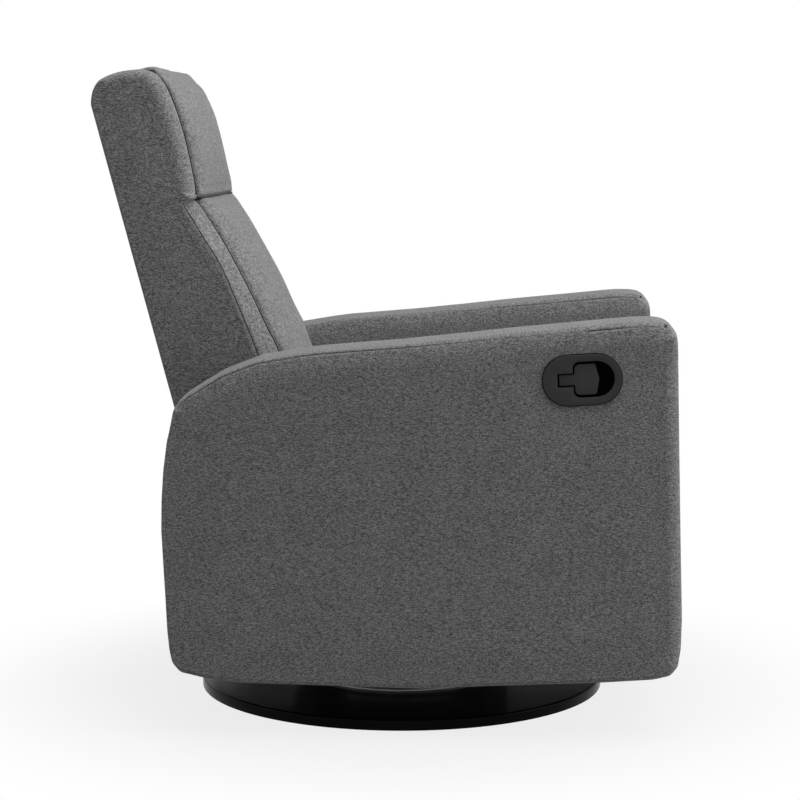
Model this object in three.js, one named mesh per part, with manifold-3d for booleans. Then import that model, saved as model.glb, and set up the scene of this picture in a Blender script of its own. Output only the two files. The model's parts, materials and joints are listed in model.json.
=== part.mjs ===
// A swivel glider recliner: a round base, a ball bearing, a glide that hangs on four links,
// two upholstered arms, a reclining back, a sliding seat and a footrest on scissor links.
// Millimetres, +X towards the sitter's feet, +Y to the sitter's left, +Z up.
// The origin is on the floor, on the swivel axis.
import * as THREE from "three";
import { mergeVertices } from "three/addons/utils/BufferGeometryUtils.js";
import Module from "manifold-3d";

const wasm = await Module();
wasm.setup();

// Clearances and shared stock
const fitGap = 0.3;
const cutOverrun = 5;
const sharpestShare = 0.5;
const plateStock = 4;
const boardStock = 18;
const wallPad = 12;
const pivotClearance = 0.6;
const headStock = 1.5;
const headShare = 1.8;
const weldTolerance = 0.001;

// Base and swivel bearing
const padThickness = 2;
const padRadius = 312;
const discRadius = 323;
const discThickness = 16.5;
const discEdge = 3;
const ringInner = 95;
const ringOuter = 150;
const ringThickness = 3;
const ballRadius = 4;
const ballFacets = 6;
const ballCount = 12;
const ballCircle = 124;
const cageThickness = 2.4;
const cageWidth = 15;

// Glide: posts on the swivel, hanging links, carriage rails on the chair
const glideReach = 150;
const glideHalfWidth = 130;
const glideLinkLength = 120;
const glidePlateReach = 172;
const glideHoleRadius = 60;
const glideFlangeHeight = 34;
const postRadius = 14;
const postFootShare = 1.7;
const glideLinkThickness = 5;
const glidePinRadius = 6;
const glideShoulderRadius = 9;
const glideGap = 2.7;
const railHeight = 32;
const railLift = 2;
const railRear = -272;
const railFront = 205;
const crossRear = -270;
const crossFront = 38;
const crossWidth = 30;
const crossThickness = 4;

// Arms
const seatClear = 490;
const armThickness = 125;
const armFront = 426;
const armRear = -341;
const armBottom = 77;
const armEndRise = 15;
const armTopFront = 622;
const armTopRear = 579;
const armTopStart = -106;
const armShoulderX = -319;
const armShoulderZ = 490;
const armWaistZ = 300;
const armCornerRadius = 34;
const armTopRadius = 40;
const armFrontLean = 13;
const armFrontCorner = 30;
const armEdgeRound = 12;
const armFrontRound = 24;
const windowMargin = 60;
const armRailDepth = 22;

// Lever in the right arm
const leverX = 276;
const leverZ = 534;
const leverTilt = THREE.MathUtils.degToRad(3.5);
const bezelLength = 116;
const bezelHeight = 76;
const bezelProud = 4;
const bezelLip = 17;
const cupDepth = 24;
const cupWall = 2.5;
const paddleStemLength = 24;
const paddleStemHeight = 15.6;
const paddleHeight = 44.6;
const paddleLength = 31;
const paddlePoint = 4.6;
const paddleCorner = 6.5;
const paddleNose = 2.5;
const paddleThickness = 6;
const paddleGap = 2;
const paddleHingeRadius = 2.5;
const paddleHingeSeat = 3;
const paddleSunk = 1;

// Stretchers and the lower rear panel
const stretcherThickness = 20;
const stretcherClearance = 5;
const stretcherHeight = 44;
const rearStretcherX = -145;
const rearPanelTop = 378;
const rearPanelBottom = 95;
const rearPanelFace = -308;
const rearPanelPad = 14;
const rearBoard = 12;

// Recline pivot, back and its bracket
const backPivotX = -235;
const backPivotZ = 450;
const backPinRadius = 8;
const backHalfWidth = 239;
const backBottom = 330;
const backTop = 979;
const backRearFootX = -293;
const backCornerDrop = 51;
const headHeight = 193;
const crownDepth = 88.5;
const headEdgeDrop = 49;
const headEdgeDepth = 115;
const notchDepth = 103.5;
const lumbarEdgeRise = 231;
const lumbarEdgeDepth = 149;
const lumbarFootRise = 157;
const lumbarFootDepth = 152.5;
const backSlope = Math.tan(THREE.MathUtils.degToRad(14.8));
const backFootDepth = 84;
const backEdgeRound = 14;
const bracketSlotDrop = 145;
const bracketRadius = 17;
const bracketReach = 90;
const slotPlay = 2;
const stileWidth = 25;
const stileDepth = 70;

// Cushions
const seamGap = 0.8;
const headDepth = 30;
const headSide = 9;
const headDepthShares = [0.85, 0.98, 1, 0.96, 0.9, 0.82, 0.68, 0.31];
const lumbarDepth = 38;
const lumbarSide = 26;
const lumbarDepthShares = [1.12, 1.04, 1, 0.98, 0.92, 0.84, 0.66];
const seatHalfWidth = 241;
const seatRearX = -186;
const seatFrontX = 405;
const seatBottom = 362;
const seatThickness = 108;
const seatCrown = 20;
const seatDrawIn = 7;
const seatCornerShare = 0.02;
const seatBellyShare = 0.02;

// Seat frame, tracks and springs
const seatSlope = THREE.MathUtils.degToRad(3);
const seatTravel = 75;
const seatRailOuter = 190;
const seatRailWidth = 25;
const seatRailBottom = 325;
const seatRailHeight = 33;
const seatFrontRail = 20;
const seatFrameFront = 385;
const frontCoverBottom = 322;
const trackGap = 6;
const trackHeight = 26;
const studRadius = 5;
const lugRadius = 9.6;
const rearStudX = -120;
const frontStudX = 50;
const trackLift = 330;
const springCount = 4;
const springWire = 1.8;
const springWaves = 6;
const springWaveSteps = 6;
const springSwing = 30;
const springSides = 5;

// Footrest linkage, in the side plane
const mainPivotX = 308;
const mainPivotZ = 335;
const rearPivotBack = 53.5;
const rearPivotRise = 12.7;
const mainLinkLength = 235.4;
const mainLinkAngle = THREE.MathUtils.degToRad(237.86);
const longLinkLength = 181;
const longLinkAngle = THREE.MathUtils.degToRad(48.4);
const tailLength = 50;
const tailAngle = THREE.MathUtils.degToRad(125.1);
const parallelReach = 60;
const linkRadius = 12;
const linkWaistShare = 0.78;
const plateRimShare = 1.5;
const linkPinRadius = 5;
const slackClearance = 2.2;
const layerPitch = 5;
const torqueTubeReach = 110;
const torqueTubeRadius = 10;
const torqueTubeWall = 2;

// Footrest panel, closed
const footBoardX = 353;
const footBoardThickness = 12;
const footPadThickness = 43;
const footBottom = 97;
const footTop = 318;
const footHalfWidth = 236;
const footEdgeRound = 14;
const footCornerShare = 0.03;
const bracketFlange = 30;

// Release cable
const cableRadius = 2.5;
const cableHoleRadius = 6;

// Facets
const pinFacets = 8;
const roundFacets = 60;
const ringFacets = 28;
const arcFacets = 4;

const armInner = seatClear / 2;
const armOuter = armInner + armThickness;
const sides = { left: 1, right: -1 };

const materials = {
  fabric: { color: 0x55565a, roughness: 0.95, metalness: 0 },
  blackDisc: { color: 0x0c0c0d, roughness: 0.25, metalness: 0.1 },
  rubber: { color: 0x141414, roughness: 0.9, metalness: 0 },
  steel: { color: 0x8a8c8f, roughness: 0.45, metalness: 0.9 },
  blackSteel: { color: 0x1c1c1e, roughness: 0.5, metalness: 0.6 },
  wood: { color: 0xb58e5c, roughness: 0.8, metalness: 0 },
  plastic: { color: 0x2b2c2e, roughness: 0.45, metalness: 0 },
};

const recliner = new THREE.Group();

function addPart(name, geometry, finish) {
  const mesh = new THREE.Mesh(geometry, new THREE.MeshStandardMaterial(materials[finish]));
  mesh.name = name;
  recliner.add(mesh);
}

// Solid operations
function signedVolume(geometry) {
  const flat = geometry.index ? geometry.toNonIndexed() : geometry;
  const position = flat.getAttribute("position");
  const [a, b, c] = [new THREE.Vector3(), new THREE.Vector3(), new THREE.Vector3()];
  let total = 0;
  for (let i = 0; i < position.count; i += 3) {
    a.fromBufferAttribute(position, i);
    b.fromBufferAttribute(position, i + 1);
    c.fromBufferAttribute(position, i + 2);
    total += a.dot(b.cross(c));
  }
  return total;
}

// Turns the faces of a closed geometry outwards when its outline ran the other way.
function facingOut(geometry) {
  const bare = geometry.clone();
  bare.deleteAttribute("normal");
  bare.deleteAttribute("uv");
  const merged = mergeVertices(bare, weldTolerance);
  if (signedVolume(merged) < 0) {
    const index = merged.index.array;
    for (let i = 0; i < index.length; i += 3) {
      [index[i + 1], index[i + 2]] = [index[i + 2], index[i + 1]];
    }
  }
  return merged;
}

function solidOf(geometry) {
  const closed = facingOut(geometry);
  return new wasm.Manifold(
    new wasm.Mesh({
      numProp: 3,
      vertProperties: closed.attributes.position.array,
      triVerts: new Uint32Array(closed.index.array),
    }),
  );
}

function geometryOf(solid) {
  const mesh = solid.getMesh();
  const geometry = new THREE.BufferGeometry();
  geometry.setAttribute("position", new THREE.BufferAttribute(mesh.vertProperties, 3));
  geometry.setIndex(new THREE.BufferAttribute(mesh.triVerts, 1));
  geometry.computeVertexNormals();
  return geometry;
}

function join(...pieces) {
  return geometryOf(pieces.map(solidOf).reduce((whole, piece) => whole.add(piece)));
}

function cut(blank, ...tools) {
  return geometryOf(tools.map(solidOf).reduce((rest, tool) => rest.subtract(tool), solidOf(blank)));
}

// Shapes
function block(x0, x1, y0, y1, z0, z1) {
  const geometry = new THREE.BoxGeometry(x1 - x0, y1 - y0, z1 - z0);
  geometry.translate((x0 + x1) / 2, (y0 + y1) / 2, (z0 + z1) / 2);
  return geometry;
}

// A turned body about +Z from points of radius and height.
function turned(points, facets) {
  const profile = points.map(([radius, height]) => new THREE.Vector2(radius, height));
  const geometry = new THREE.LatheGeometry(profile, facets);
  geometry.rotateX(Math.PI / 2);
  return facingOut(geometry);
}

function turnedRing(inner, outer, bottom, top, facets) {
  const section = [[inner, bottom], [outer, bottom], [outer, top], [inner, top], [inner, bottom]];
  return turned(section, facets);
}

// A side-view outline, given in X and Z, made into a plate between two distances from the centre.
function sidePlate(shape, side, near, far, curveSegments = arcFacets) {
  const geometry = new THREE.ExtrudeGeometry(shape, {
    depth: far - near,
    bevelEnabled: false,
    curveSegments,
  });
  geometry.rotateX(Math.PI / 2);
  geometry.translate(0, side > 0 ? far : -near, 0);
  return geometry;
}

// The same outline across the whole width between the two sides.
function acrossPlate(shape, halfWidth, curveSegments = arcFacets) {
  return sidePlate(shape, 1, -halfWidth, halfWidth, curveSegments);
}

function pin(x, z, radius, side, near, far, facets = pinFacets) {
  const geometry = new THREE.CylinderGeometry(radius, radius, far - near, facets);
  geometry.translate(x, (side * (near + far)) / 2, z);
  return geometry;
}

function circlePath(x, z, radius) {
  return new THREE.Path().absarc(x, z, radius, 0, Math.PI * 2);
}

function polygon(points) {
  return new THREE.Shape(points.map(([x, z]) => new THREE.Vector2(x, z)));
}

function rectangle(x0, x1, z0, z1) {
  return polygon([[x0, z0], [x1, z0], [x1, z1], [x0, z1]]);
}

// A slot or bar with round ends between two points.
function stadium(from, to, radius, toRadius = radius) {
  const angle = Math.atan2(to.z - from.z, to.x - from.x);
  const quarter = Math.PI / 2;
  const shape = new THREE.Shape();
  shape.absarc(from.x, from.z, radius, angle + quarter, angle + quarter * 3, false);
  shape.absarc(to.x, to.z, toRadius, angle - quarter, angle + quarter, false);
  shape.closePath();
  return shape;
}

// A pressed link: round ends, a slimmer waist.
function linkShape(from, to, radius, holes) {
  const angle = Math.atan2(to.z - from.z, to.x - from.x);
  const quarter = Math.PI / 2;
  const waist = radius * linkWaistShare;
  const middle = { x: (from.x + to.x) / 2, z: (from.z + to.z) / 2 };
  const across = { x: -Math.sin(angle), z: Math.cos(angle) };
  const pinch = 2 * waist - radius;
  const shape = new THREE.Shape();
  shape.absarc(from.x, from.z, radius, angle + quarter, angle + quarter * 3, false);
  shape.quadraticCurveTo(
    middle.x - across.x * pinch,
    middle.z - across.z * pinch,
    to.x - across.x * radius,
    to.z - across.z * radius,
  );
  shape.absarc(to.x, to.z, radius, angle - quarter, angle + quarter, false);
  shape.quadraticCurveTo(
    middle.x + across.x * pinch,
    middle.z + across.z * pinch,
    from.x + across.x * radius,
    from.z + across.z * radius,
  );
  for (const hole of holes) shape.holes.push(circlePath(hole.x, hole.z, hole.radius));
  return shape;
}

function polar(from, length, angle) {
  return { x: from.x + length * Math.cos(angle), z: from.z + length * Math.sin(angle) };
}

// Moves each point of a closed outline inwards, by a distance that may differ along it.
function inset(points, distanceAt) {
  const count = points.length;
  return points.map((point, i) => {
    const before = points[(i + count - 1) % count];
    const after = points[(i + 1) % count];
    const incoming = point.clone().sub(before).normalize();
    const outgoing = after.clone().sub(point).normalize();
    const along = incoming.add(outgoing).normalize();
    const reach = distanceAt(point, i) / Math.max(along.dot(outgoing), sharpestShare);
    return new THREE.Vector2(point.x - along.y * reach, point.y + along.x * reach);
  });
}

function outlinePoints(shape, divisions) {
  const points = shape.getPoints(divisions);
  return points.filter((point, i) => point.distanceTo(points[(i + 1) % points.length]) > fitGap);
}

// A padded slab: an outline in X and Z, from one distance to another, with its rims rounded
// by a radius that may differ along the outline.
function paddedSlab(points, side, near, far, radiusAt, steps = 3) {
  const rings = [];
  for (const [face, direction] of [[near, 1], [far, -1]]) {
    const faceRings = [];
    for (let step = 0; step <= steps; step += 1) {
      const angle = (Math.PI / 2) * (step / steps);
      const moved = inset(points, (p, i) => radiusAt(p, i) * (1 - Math.sin(angle)));
      faceRings.push(moved.map((point, i) => {
        const depth = radiusAt(points[i], i) * (1 - Math.cos(angle));
        return new THREE.Vector3(point.x, side * (face + direction * depth), point.y);
      }));
    }
    rings.push(...(direction > 0 ? faceRings : faceRings.reverse()));
  }
  return ringLoft(rings);
}

// A closed body through rings of equal point count, capped flat at both ends.
function ringLoft(rings) {
  const count = rings[0].length;
  const vertices = rings.flat().flatMap((point) => [point.x, point.y, point.z]);
  const index = [];
  for (let ring = 0; ring < rings.length - 1; ring += 1) {
    for (let i = 0; i < count; i += 1) {
      const next = (i + 1) % count;
      const [a, b] = [ring * count + i, ring * count + next];
      const [c, d] = [a + count, b + count];
      index.push(a, b, d, a, d, c);
    }
  }
  const caps = [[0, 1], [rings.length - 1, -1]];
  for (const [ring, sense] of caps) {
    const flat = rings[ring].map((point) => new THREE.Vector2(point.x, point.z));
    const start = ring * count;
    for (const [a, b, c] of THREE.ShapeUtils.triangulateShape(flat, [])) {
      if (sense > 0) index.push(start + a, start + c, start + b);
      else index.push(start + a, start + b, start + c);
    }
  }
  const geometry = new THREE.BufferGeometry();
  geometry.setAttribute("position", new THREE.Float32BufferAttribute(vertices, 3));
  geometry.setIndex(index);
  return facingOut(geometry);
}

// A soft body: a gridded box whose points, each from -1 to 1 three ways, are moved by a formula.
function softBody(counts, place) {
  const geometry = new THREE.BoxGeometry(2, 2, 2, ...counts);
  const position = geometry.getAttribute("position");
  const point = new THREE.Vector3();
  for (let i = 0; i < position.count; i += 1) {
    point.fromBufferAttribute(position, i);
    const moved = place(point.x, point.y, point.z);
    position.setXYZ(i, moved.x, moved.y, moved.z);
  }
  return facingOut(geometry);
}

// Base: floor pad, disc and the ball bearing
const discTop = padThickness + discThickness;
const lowerRingTop = discTop + ringThickness;
const ballCentre = lowerRingTop + fitGap + ballRadius;
const upperRingBottom = ballCentre + ballRadius + fitGap;
const upperRingTop = upperRingBottom + ringThickness;
const glideFloor = upperRingTop + fitGap;

function addBase() {
  addPart("floor_pad", turned([[0, 0], [padRadius, 0], [padRadius, padThickness], [0, padThickness]],
    roundFacets), "rubber");
  const disc = turned([
    [0, padThickness],
    [discRadius - discEdge / 2, padThickness],
    [discRadius, padThickness + discEdge / 2],
    [discRadius, discTop - discEdge],
    [discRadius - discEdge, discTop],
    [0, discTop],
  ], roundFacets);
  addPart("base_disc", disc, "blackDisc");
  addPart("lower_bearing_ring",
    turnedRing(ringInner, ringOuter, discTop, lowerRingTop, ringFacets), "steel");
  addPart("upper_bearing_ring",
    turnedRing(ringInner, ringOuter, upperRingBottom, upperRingTop, ringFacets), "steel");
  const cageHalf = cageThickness / 2;
  const cage = turnedRing(ballCircle - cageWidth / 2, ballCircle + cageWidth / 2,
    ballCentre - cageHalf, ballCentre + cageHalf, ringFacets);
  const balls = Array.from({ length: ballCount }, (unused, i) => {
    const angle = (Math.PI * 2 * i) / ballCount;
    const ball = new THREE.SphereGeometry(ballRadius, ballFacets, ballFacets - 2);
    ball.rotateX(Math.PI / 2);
    ball.translate(ballCircle * Math.cos(angle), ballCircle * Math.sin(angle), ballCentre);
    return ball;
  });
  addPart("ball_cage", join(cage, ...balls), "steel");
}

// Glide: pressed frame with four posts, hanging links, carriage rails
const postInner = glideHalfWidth - plateStock;
const glideLinkNear = glideHalfWidth + glideGap;
const glideLinkFar = glideLinkNear + glideLinkThickness;
const railNear = glideLinkFar + glideGap;
const railFar = railNear + plateStock;
const railBottom = armBottom + railLift;
const railTop = railBottom + railHeight;
const lowPivotHeight = railBottom + railHeight / 2;
const glidePivotHeight = lowPivotHeight + glideLinkLength;

function glideSideShape() {
  const foot = postRadius * postFootShare;
  const flangeTop = glideFloor + glideFlangeHeight;
  const shape = new THREE.Shape();
  shape.moveTo(-glidePlateReach, glideFloor);
  shape.lineTo(glidePlateReach, glideFloor);
  shape.lineTo(glidePlateReach, flangeTop);
  shape.lineTo(glideReach + postRadius, glidePivotHeight);
  shape.absarc(glideReach, glidePivotHeight, postRadius, 0, Math.PI, false);
  shape.quadraticCurveTo(glideReach - foot, flangeTop + foot, glideReach - 2 * foot, flangeTop);
  shape.lineTo(-glideReach + 2 * foot, flangeTop);
  shape.quadraticCurveTo(-glideReach + foot, flangeTop + foot,
    -glideReach + postRadius, glidePivotHeight);
  shape.absarc(-glideReach, glidePivotHeight, postRadius, 0, Math.PI, false);
  shape.lineTo(-glidePlateReach, flangeTop);
  return shape;
}

function addGlideFrame() {
  const floor = new THREE.Shape();
  floor.moveTo(-glidePlateReach, -glideHalfWidth);
  floor.lineTo(glidePlateReach, -glideHalfWidth);
  floor.lineTo(glidePlateReach, glideHalfWidth);
  floor.lineTo(-glidePlateReach, glideHalfWidth);
  floor.holes.push(circlePath(0, 0, glideHoleRadius));
  const floorPlate = new THREE.ExtrudeGeometry(floor,
    { depth: plateStock, bevelEnabled: false, curveSegments: 2 * arcFacets });
  floorPlate.translate(0, 0, glideFloor);
  const pieces = [floorPlate];
  for (const side of Object.values(sides)) {
    pieces.push(sidePlate(glideSideShape(), side, postInner, glideHalfWidth));
    for (const end of [-1, 1]) {
      const x = end * glideReach;
      const shoulderFar = glideLinkNear - fitGap;
      pieces.push(pin(x, glidePivotHeight, glideShoulderRadius, side, postInner, shoulderFar));
      pieces.push(pin(x, glidePivotHeight, glidePinRadius, side, postInner, glideLinkFar + fitGap * 2));
      pieces.push(pin(x, glidePivotHeight, glideShoulderRadius, side,
        glideLinkFar + fitGap, glideLinkFar + fitGap + headStock));
    }
  }
  addPart("glide_frame", join(...pieces), "blackSteel");
}

function addGlideLinks() {
  const holeRadius = glidePinRadius + pivotClearance;
  for (const [sideName, side] of Object.entries(sides)) {
    for (const [endName, end] of [["front", 1], ["rear", -1]]) {
      const top = { x: end * glideReach, z: glidePivotHeight, radius: holeRadius };
      const low = { x: end * glideReach, z: lowPivotHeight, radius: holeRadius };
      const shape = linkShape(low, top, postRadius, [top, low]);
      addPart(`${endName}_${sideName}_glide_link`,
        sidePlate(shape, side, glideLinkNear, glideLinkFar), "steel");
    }
  }
}

function addCarriage() {
  const pieces = [];
  const reach = armInner - fitGap;
  for (const side of Object.values(sides)) {
    pieces.push(sidePlate(rectangle(railRear, railFront, railBottom, railTop), side, railNear, railFar));
    for (const end of [-1, 1]) {
      const x = end * glideReach;
      const headFar = glideLinkNear - fitGap;
      pieces.push(pin(x, lowPivotHeight, glideShoulderRadius, side, glideLinkFar + fitGap, railFar));
      pieces.push(pin(x, lowPivotHeight, glidePinRadius, side, headFar - fitGap, railFar));
      pieces.push(pin(x, lowPivotHeight, glideShoulderRadius, side, headFar - headStock / 2, headFar));
    }
  }
  for (const x of [crossRear, crossFront]) {
    pieces.push(block(x, x + crossWidth, -reach, reach, railTop - crossThickness, railTop));
    pieces.push(block(x, x + crossThickness, -reach, reach, railBottom, railTop));
  }
  addPart("carriage_frame", join(...pieces), "blackSteel");
}

// Arms
// The arm's side outline, moved inwards by a margin.
function armShape(margin = 0) {
  const rise = armBottom + armEndRise + margin;
  const front = armFront - margin;
  const rear = armRear + margin;
  const shoulderX = armShoulderX + margin;
  const shoulderZ = armShoulderZ - margin / 2;
  const topFront = armTopFront - margin;
  const topRear = armTopRear - margin;
  const corner = Math.max(armCornerRadius - margin, armEndRise);
  const topCorner = Math.max(armTopRadius - margin, armEndRise);
  const frontCorner = Math.max(armFrontCorner - margin, armEndRise);
  const shape = new THREE.Shape();
  shape.moveTo(shoulderX + corner, rise);
  shape.quadraticCurveTo((front + rear) / 2, rise - 2 * armEndRise, front - corner, rise);
  shape.quadraticCurveTo(front, rise, front, rise + corner);
  shape.lineTo(front - armFrontLean, topFront - frontCorner);
  shape.quadraticCurveTo(front - armFrontLean, topFront, front - armFrontLean - frontCorner, topFront);
  shape.lineTo(armTopStart, topRear);
  shape.bezierCurveTo((armTopStart * 2 + shoulderX) / 3, topRear - armEndRise / 2,
    shoulderX + topCorner, shoulderZ + topCorner, shoulderX, shoulderZ);
  shape.bezierCurveTo(rear, shoulderZ - topCorner, rear - armEndRise / 3, armWaistZ,
    rear + armEndRise / 3, armWaistZ / 2 + corner);
  shape.quadraticCurveTo(shoulderX - armEndRise / 3, rise, shoulderX + corner, rise);
  return shape;
}

const armPoints = outlinePoints(armShape(), 7);

function armRounding(point) {
  const share = THREE.MathUtils.smoothstep(point.x, armFront - armTopRadius, armFront - armEndRise);
  const low = 1 - THREE.MathUtils.smoothstep(point.y, armTopFront - 2 * armTopRadius, armTopFront);
  return armEdgeRound + (armFrontRound - armEdgeRound) * share * low;
}

function shapeOf(points) {
  return new THREE.Shape(points);
}

// A stadium that lies along the lever's tilt, about the lever's middle.
function leverStadium(length, height) {
  const radius = height / 2;
  const reach = length / 2 - radius;
  const middle = { x: leverX, z: leverZ };
  return stadium(polar(middle, -reach, leverTilt), polar(middle, reach, leverTilt), radius);
}

function cableHole(side, near, far) {
  const at = cableRoute[cableRoute.length - 1];
  return pin(at.x, at.z, cableHoleRadius, side, near, far);
}

function addArm(sideName, side) {
  const outer = paddedSlab(armPoints, side, armInner, armOuter, armRounding, 2);
  const hollowPoints = inset(armPoints, () => wallPad);
  const hollow = sidePlate(shapeOf(hollowPoints), side, armInner + wallPad, armOuter - wallPad);
  const mouth = sidePlate(
    rectangle(armRear + 3 * armCornerRadius, armFront - 2 * armCornerRadius,
      armBottom - armEndRise, armBottom + 2 * armEndRise),
    side, armInner + wallPad, armOuter - wallPad);
  const tools = [hollow, mouth];
  if (side === sides.right) {
    tools.push(sidePlate(leverStadium(bezelLength - bezelLip, bezelHeight - bezelLip),
      side, armOuter - wallPad - cutOverrun, armOuter + cutOverrun, arcFacets * 2));
    tools.push(cableHole(side, armInner - cutOverrun, armInner + wallPad + cutOverrun));
  }
  addPart(`${sideName}_arm_cover`, cut(outer, ...tools), "fabric");
}

function addArmFrame(sideName, side) {
  const near = armInner + wallPad + fitGap;
  const far = armOuter - wallPad - fitGap;
  const fitPoints = inset(armPoints, () => wallPad + fitGap);
  const panel = sidePlate(shapeOf(fitPoints), side, near, near + boardStock);
  const hollow = armShape(wallPad + fitGap + armRailDepth);
  const band = cut(sidePlate(shapeOf(fitPoints), side, near, far),
    sidePlate(hollow, side, near - cutOverrun, far + cutOverrun));
  const open = windowMargin + wallPad;
  const window = sidePlate(
    rectangle(armRear + open, armFront - open - windowMargin,
      armBottom + open + windowMargin, armTopRear - 2 * open),
    side, near - cutOverrun, near + boardStock + cutOverrun);
  let frame = cut(join(panel, band), window);
  if (side === sides.right) {
    const board = sidePlate(
      rectangle(leverX - bezelLength, leverX + bezelLength, leverZ - bezelHeight,
        armTopRear - wallPad),
      side, far - plateStock * 2, far);
    const slot = sidePlate(leverStadium(bezelLength - bezelLip, bezelHeight - bezelLip),
      side, far - cutOverrun * 2, far + cutOverrun, arcFacets * 2);
    frame = cut(join(frame, board), slot, cableHole(side, near - cutOverrun, near + boardStock * 2));
  }
  addPart(`${sideName}_arm_frame`, frame, "wood");
}

// The cable runs from the lever's cup down inside the arm, then inwards to the mechanism plate.
const cableRoute = [
  { x: 248, y: -343.2, z: 534 },
  { x: 248, y: -334, z: 533 },
  { x: 246, y: -320, z: 524 },
  { x: 242, y: -311, z: 500 },
  { x: 230, y: -307, z: 455 },
  { x: 208, y: -306, z: 405 },
  { x: 178, y: -303, z: 358 },
  { x: 158, y: -291, z: 332 },
  { x: 151, y: -274, z: 326 },
  { x: 150, y: -258, z: 325 },
  { x: 150, y: -245, z: 325 },
];

function addCable() {
  const curve = new THREE.CatmullRomCurve3(
    cableRoute.map((point) => new THREE.Vector3(point.x, point.y, point.z)), false, "centripetal");
  const section = new THREE.Shape().absarc(0, 0, cableRadius, 0, Math.PI * 2);
  const tube = new THREE.ExtrudeGeometry(section,
    { extrudePath: curve, steps: 26, curveSegments: 4, bevelEnabled: false });
  addPart("release_cable", facingOut(tube), "plastic");
}

// Lever: oval housing with a cup, and the paddle that swings out of it
const stemRear = -bezelLength / 2 + bezelLip + paddleHingeSeat * 2;
const stemFront = stemRear + paddleStemLength;
const bladeFront = stemFront + paddleLength;
const leverPoint = (along, up) => {
  const corner = polar({ x: leverX, z: leverZ }, along, leverTilt);
  return polar(corner, up, leverTilt + Math.PI / 2);
};

// A quarter round of the lever's outlines, about a centre along and across its tilt.
function leverArc(along, up, radius, quarter) {
  return Array.from({ length: arcFacets + 1 }, (unused, i) => {
    const angle = ((quarter + i / arcFacets) * Math.PI) / 2;
    return [along + radius * Math.cos(angle), up + radius * Math.sin(angle)];
  });
}

// The paddle's outline, grown by a margin: a narrow stem and a wide blade with a pointed edge.
function paddleShape(grow) {
  const stem = paddleStemHeight / 2 + grow;
  const blade = paddleHeight / 2 - paddleCorner;
  const rear = stemFront + paddleCorner;
  const nose = paddleHeight / 2 - paddleNose;
  const front = bladeFront - paddleNose;
  return leverShape([
    [stemRear - grow, -stem],
    [stemFront - grow, -stem],
    ...leverArc(rear, -blade, paddleCorner + grow, 2),
    ...leverArc(front, -nose, paddleNose + grow, 3),
    [bladeFront + grow + paddlePoint, 0],
    ...leverArc(front, nose, paddleNose + grow, 0),
    ...leverArc(rear, blade, paddleCorner + grow, 1),
    [stemFront - grow, stem],
    [stemRear - grow, stem],
  ]);
}

function leverShape(points) {
  return polygon(points.map(([along, up]) => {
    const point = leverPoint(along, up);
    return [point.x, point.z];
  }));
}

// The hinge pin lies across the stem's rear end, along the lever's upright.
function hingeRod(radius, reach) {
  const rod = new THREE.CylinderGeometry(radius, radius, 2 * reach, pinFacets);
  rod.rotateX(Math.PI / 2);
  rod.rotateY(-leverTilt);
  const at = leverPoint(stemRear + paddleHingeSeat, 0);
  rod.translate(at.x, paddleHingeY, at.z);
  return rod;
}

const paddleFace = armOuter - paddleSunk;
const paddleHingeY = -(paddleFace - paddleThickness / 2);

function addLever() {
  const side = sides.right;
  const round = 2 * arcFacets;
  const face = armOuter + bezelProud;
  const floor = armOuter - cupDepth;
  const hole = bezelLip + 2 * fitGap;
  const lip = sidePlate(leverStadium(bezelLength, bezelHeight), side, armOuter + fitGap, face, round);
  const cup = sidePlate(leverStadium(bezelLength - hole, bezelHeight - hole),
    side, floor - cupWall, armOuter + bezelProud / 2, round);
  const wellLength = bezelLength - hole - 2 * cupWall;
  const wellHeight = bezelHeight - hole - 2 * cupWall;
  const well = sidePlate(leverStadium(wellLength, wellHeight), side, floor, face + cutOverrun, round);
  const corner = paddleCorner + paddleGap;
  const cornerFront = stemFront - paddleGap + corner;
  const stemBlock = leverShape([
    [-bezelLength / 2, -bezelHeight / 2],
    [cornerFront, -bezelHeight / 2],
    ...leverArc(cornerFront, corner - wellHeight / 2, corner, 2).reverse(),
    ...leverArc(cornerFront, wellHeight / 2 - corner, corner, 1).reverse(),
    [cornerFront, bezelHeight / 2],
    [-bezelLength / 2, bezelHeight / 2],
  ]);
  const filled = geometryOf(solidOf(well).intersect(
    solidOf(sidePlate(stemBlock, side, floor - cupWall / 2, armOuter + paddleSunk))));
  const stemRoom = sidePlate(paddleShape(paddleGap), side,
    paddleFace - paddleThickness - paddleGap, face + cutOverrun);
  const rodReach = paddleStemHeight / 2 + paddleGap + paddleHingeSeat;
  addPart("lever_bezel", cut(join(cut(join(lip, cup), well), filled), stemRoom,
    hingeRod(paddleHingeRadius + pivotClearance, rodReach + fitGap)), "plastic");
  addPart("lever_paddle", join(
    sidePlate(paddleShape(0), side, paddleFace - paddleThickness, paddleFace),
    hingeRod(paddleHingeRadius, rodReach)), "plastic");
}

// Stretchers, lower rear panel
const stretcherBottom = glidePivotHeight + postRadius + stretcherClearance;
const frontStretcherX = glideReach - stretcherThickness;

function addStretchers() {
  const reach = armInner - fitGap;
  for (const [name, x] of [["front_stretcher", frontStretcherX], ["rear_stretcher", rearStretcherX]]) {
    addPart(name, block(x, x + stretcherThickness, -reach, reach,
      stretcherBottom, stretcherBottom + stretcherHeight), "wood");
  }
  addPart("rear_panel_board", block(rearPanelFace - rearBoard, rearPanelFace, -reach, reach,
    rearPanelBottom, rearPanelTop), "wood");
  const back = rearPanelFace - rearBoard - fitGap;
  const outline = outlinePoints(rectangle(back - rearPanelPad, back,
    rearPanelBottom - wallPad / 2, rearPanelTop + wallPad / 4), 1);
  addPart("rear_panel_cover", paddedSlab(outline, 1, -reach, reach, () => wallPad / 4, 1), "fabric");
}

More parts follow.
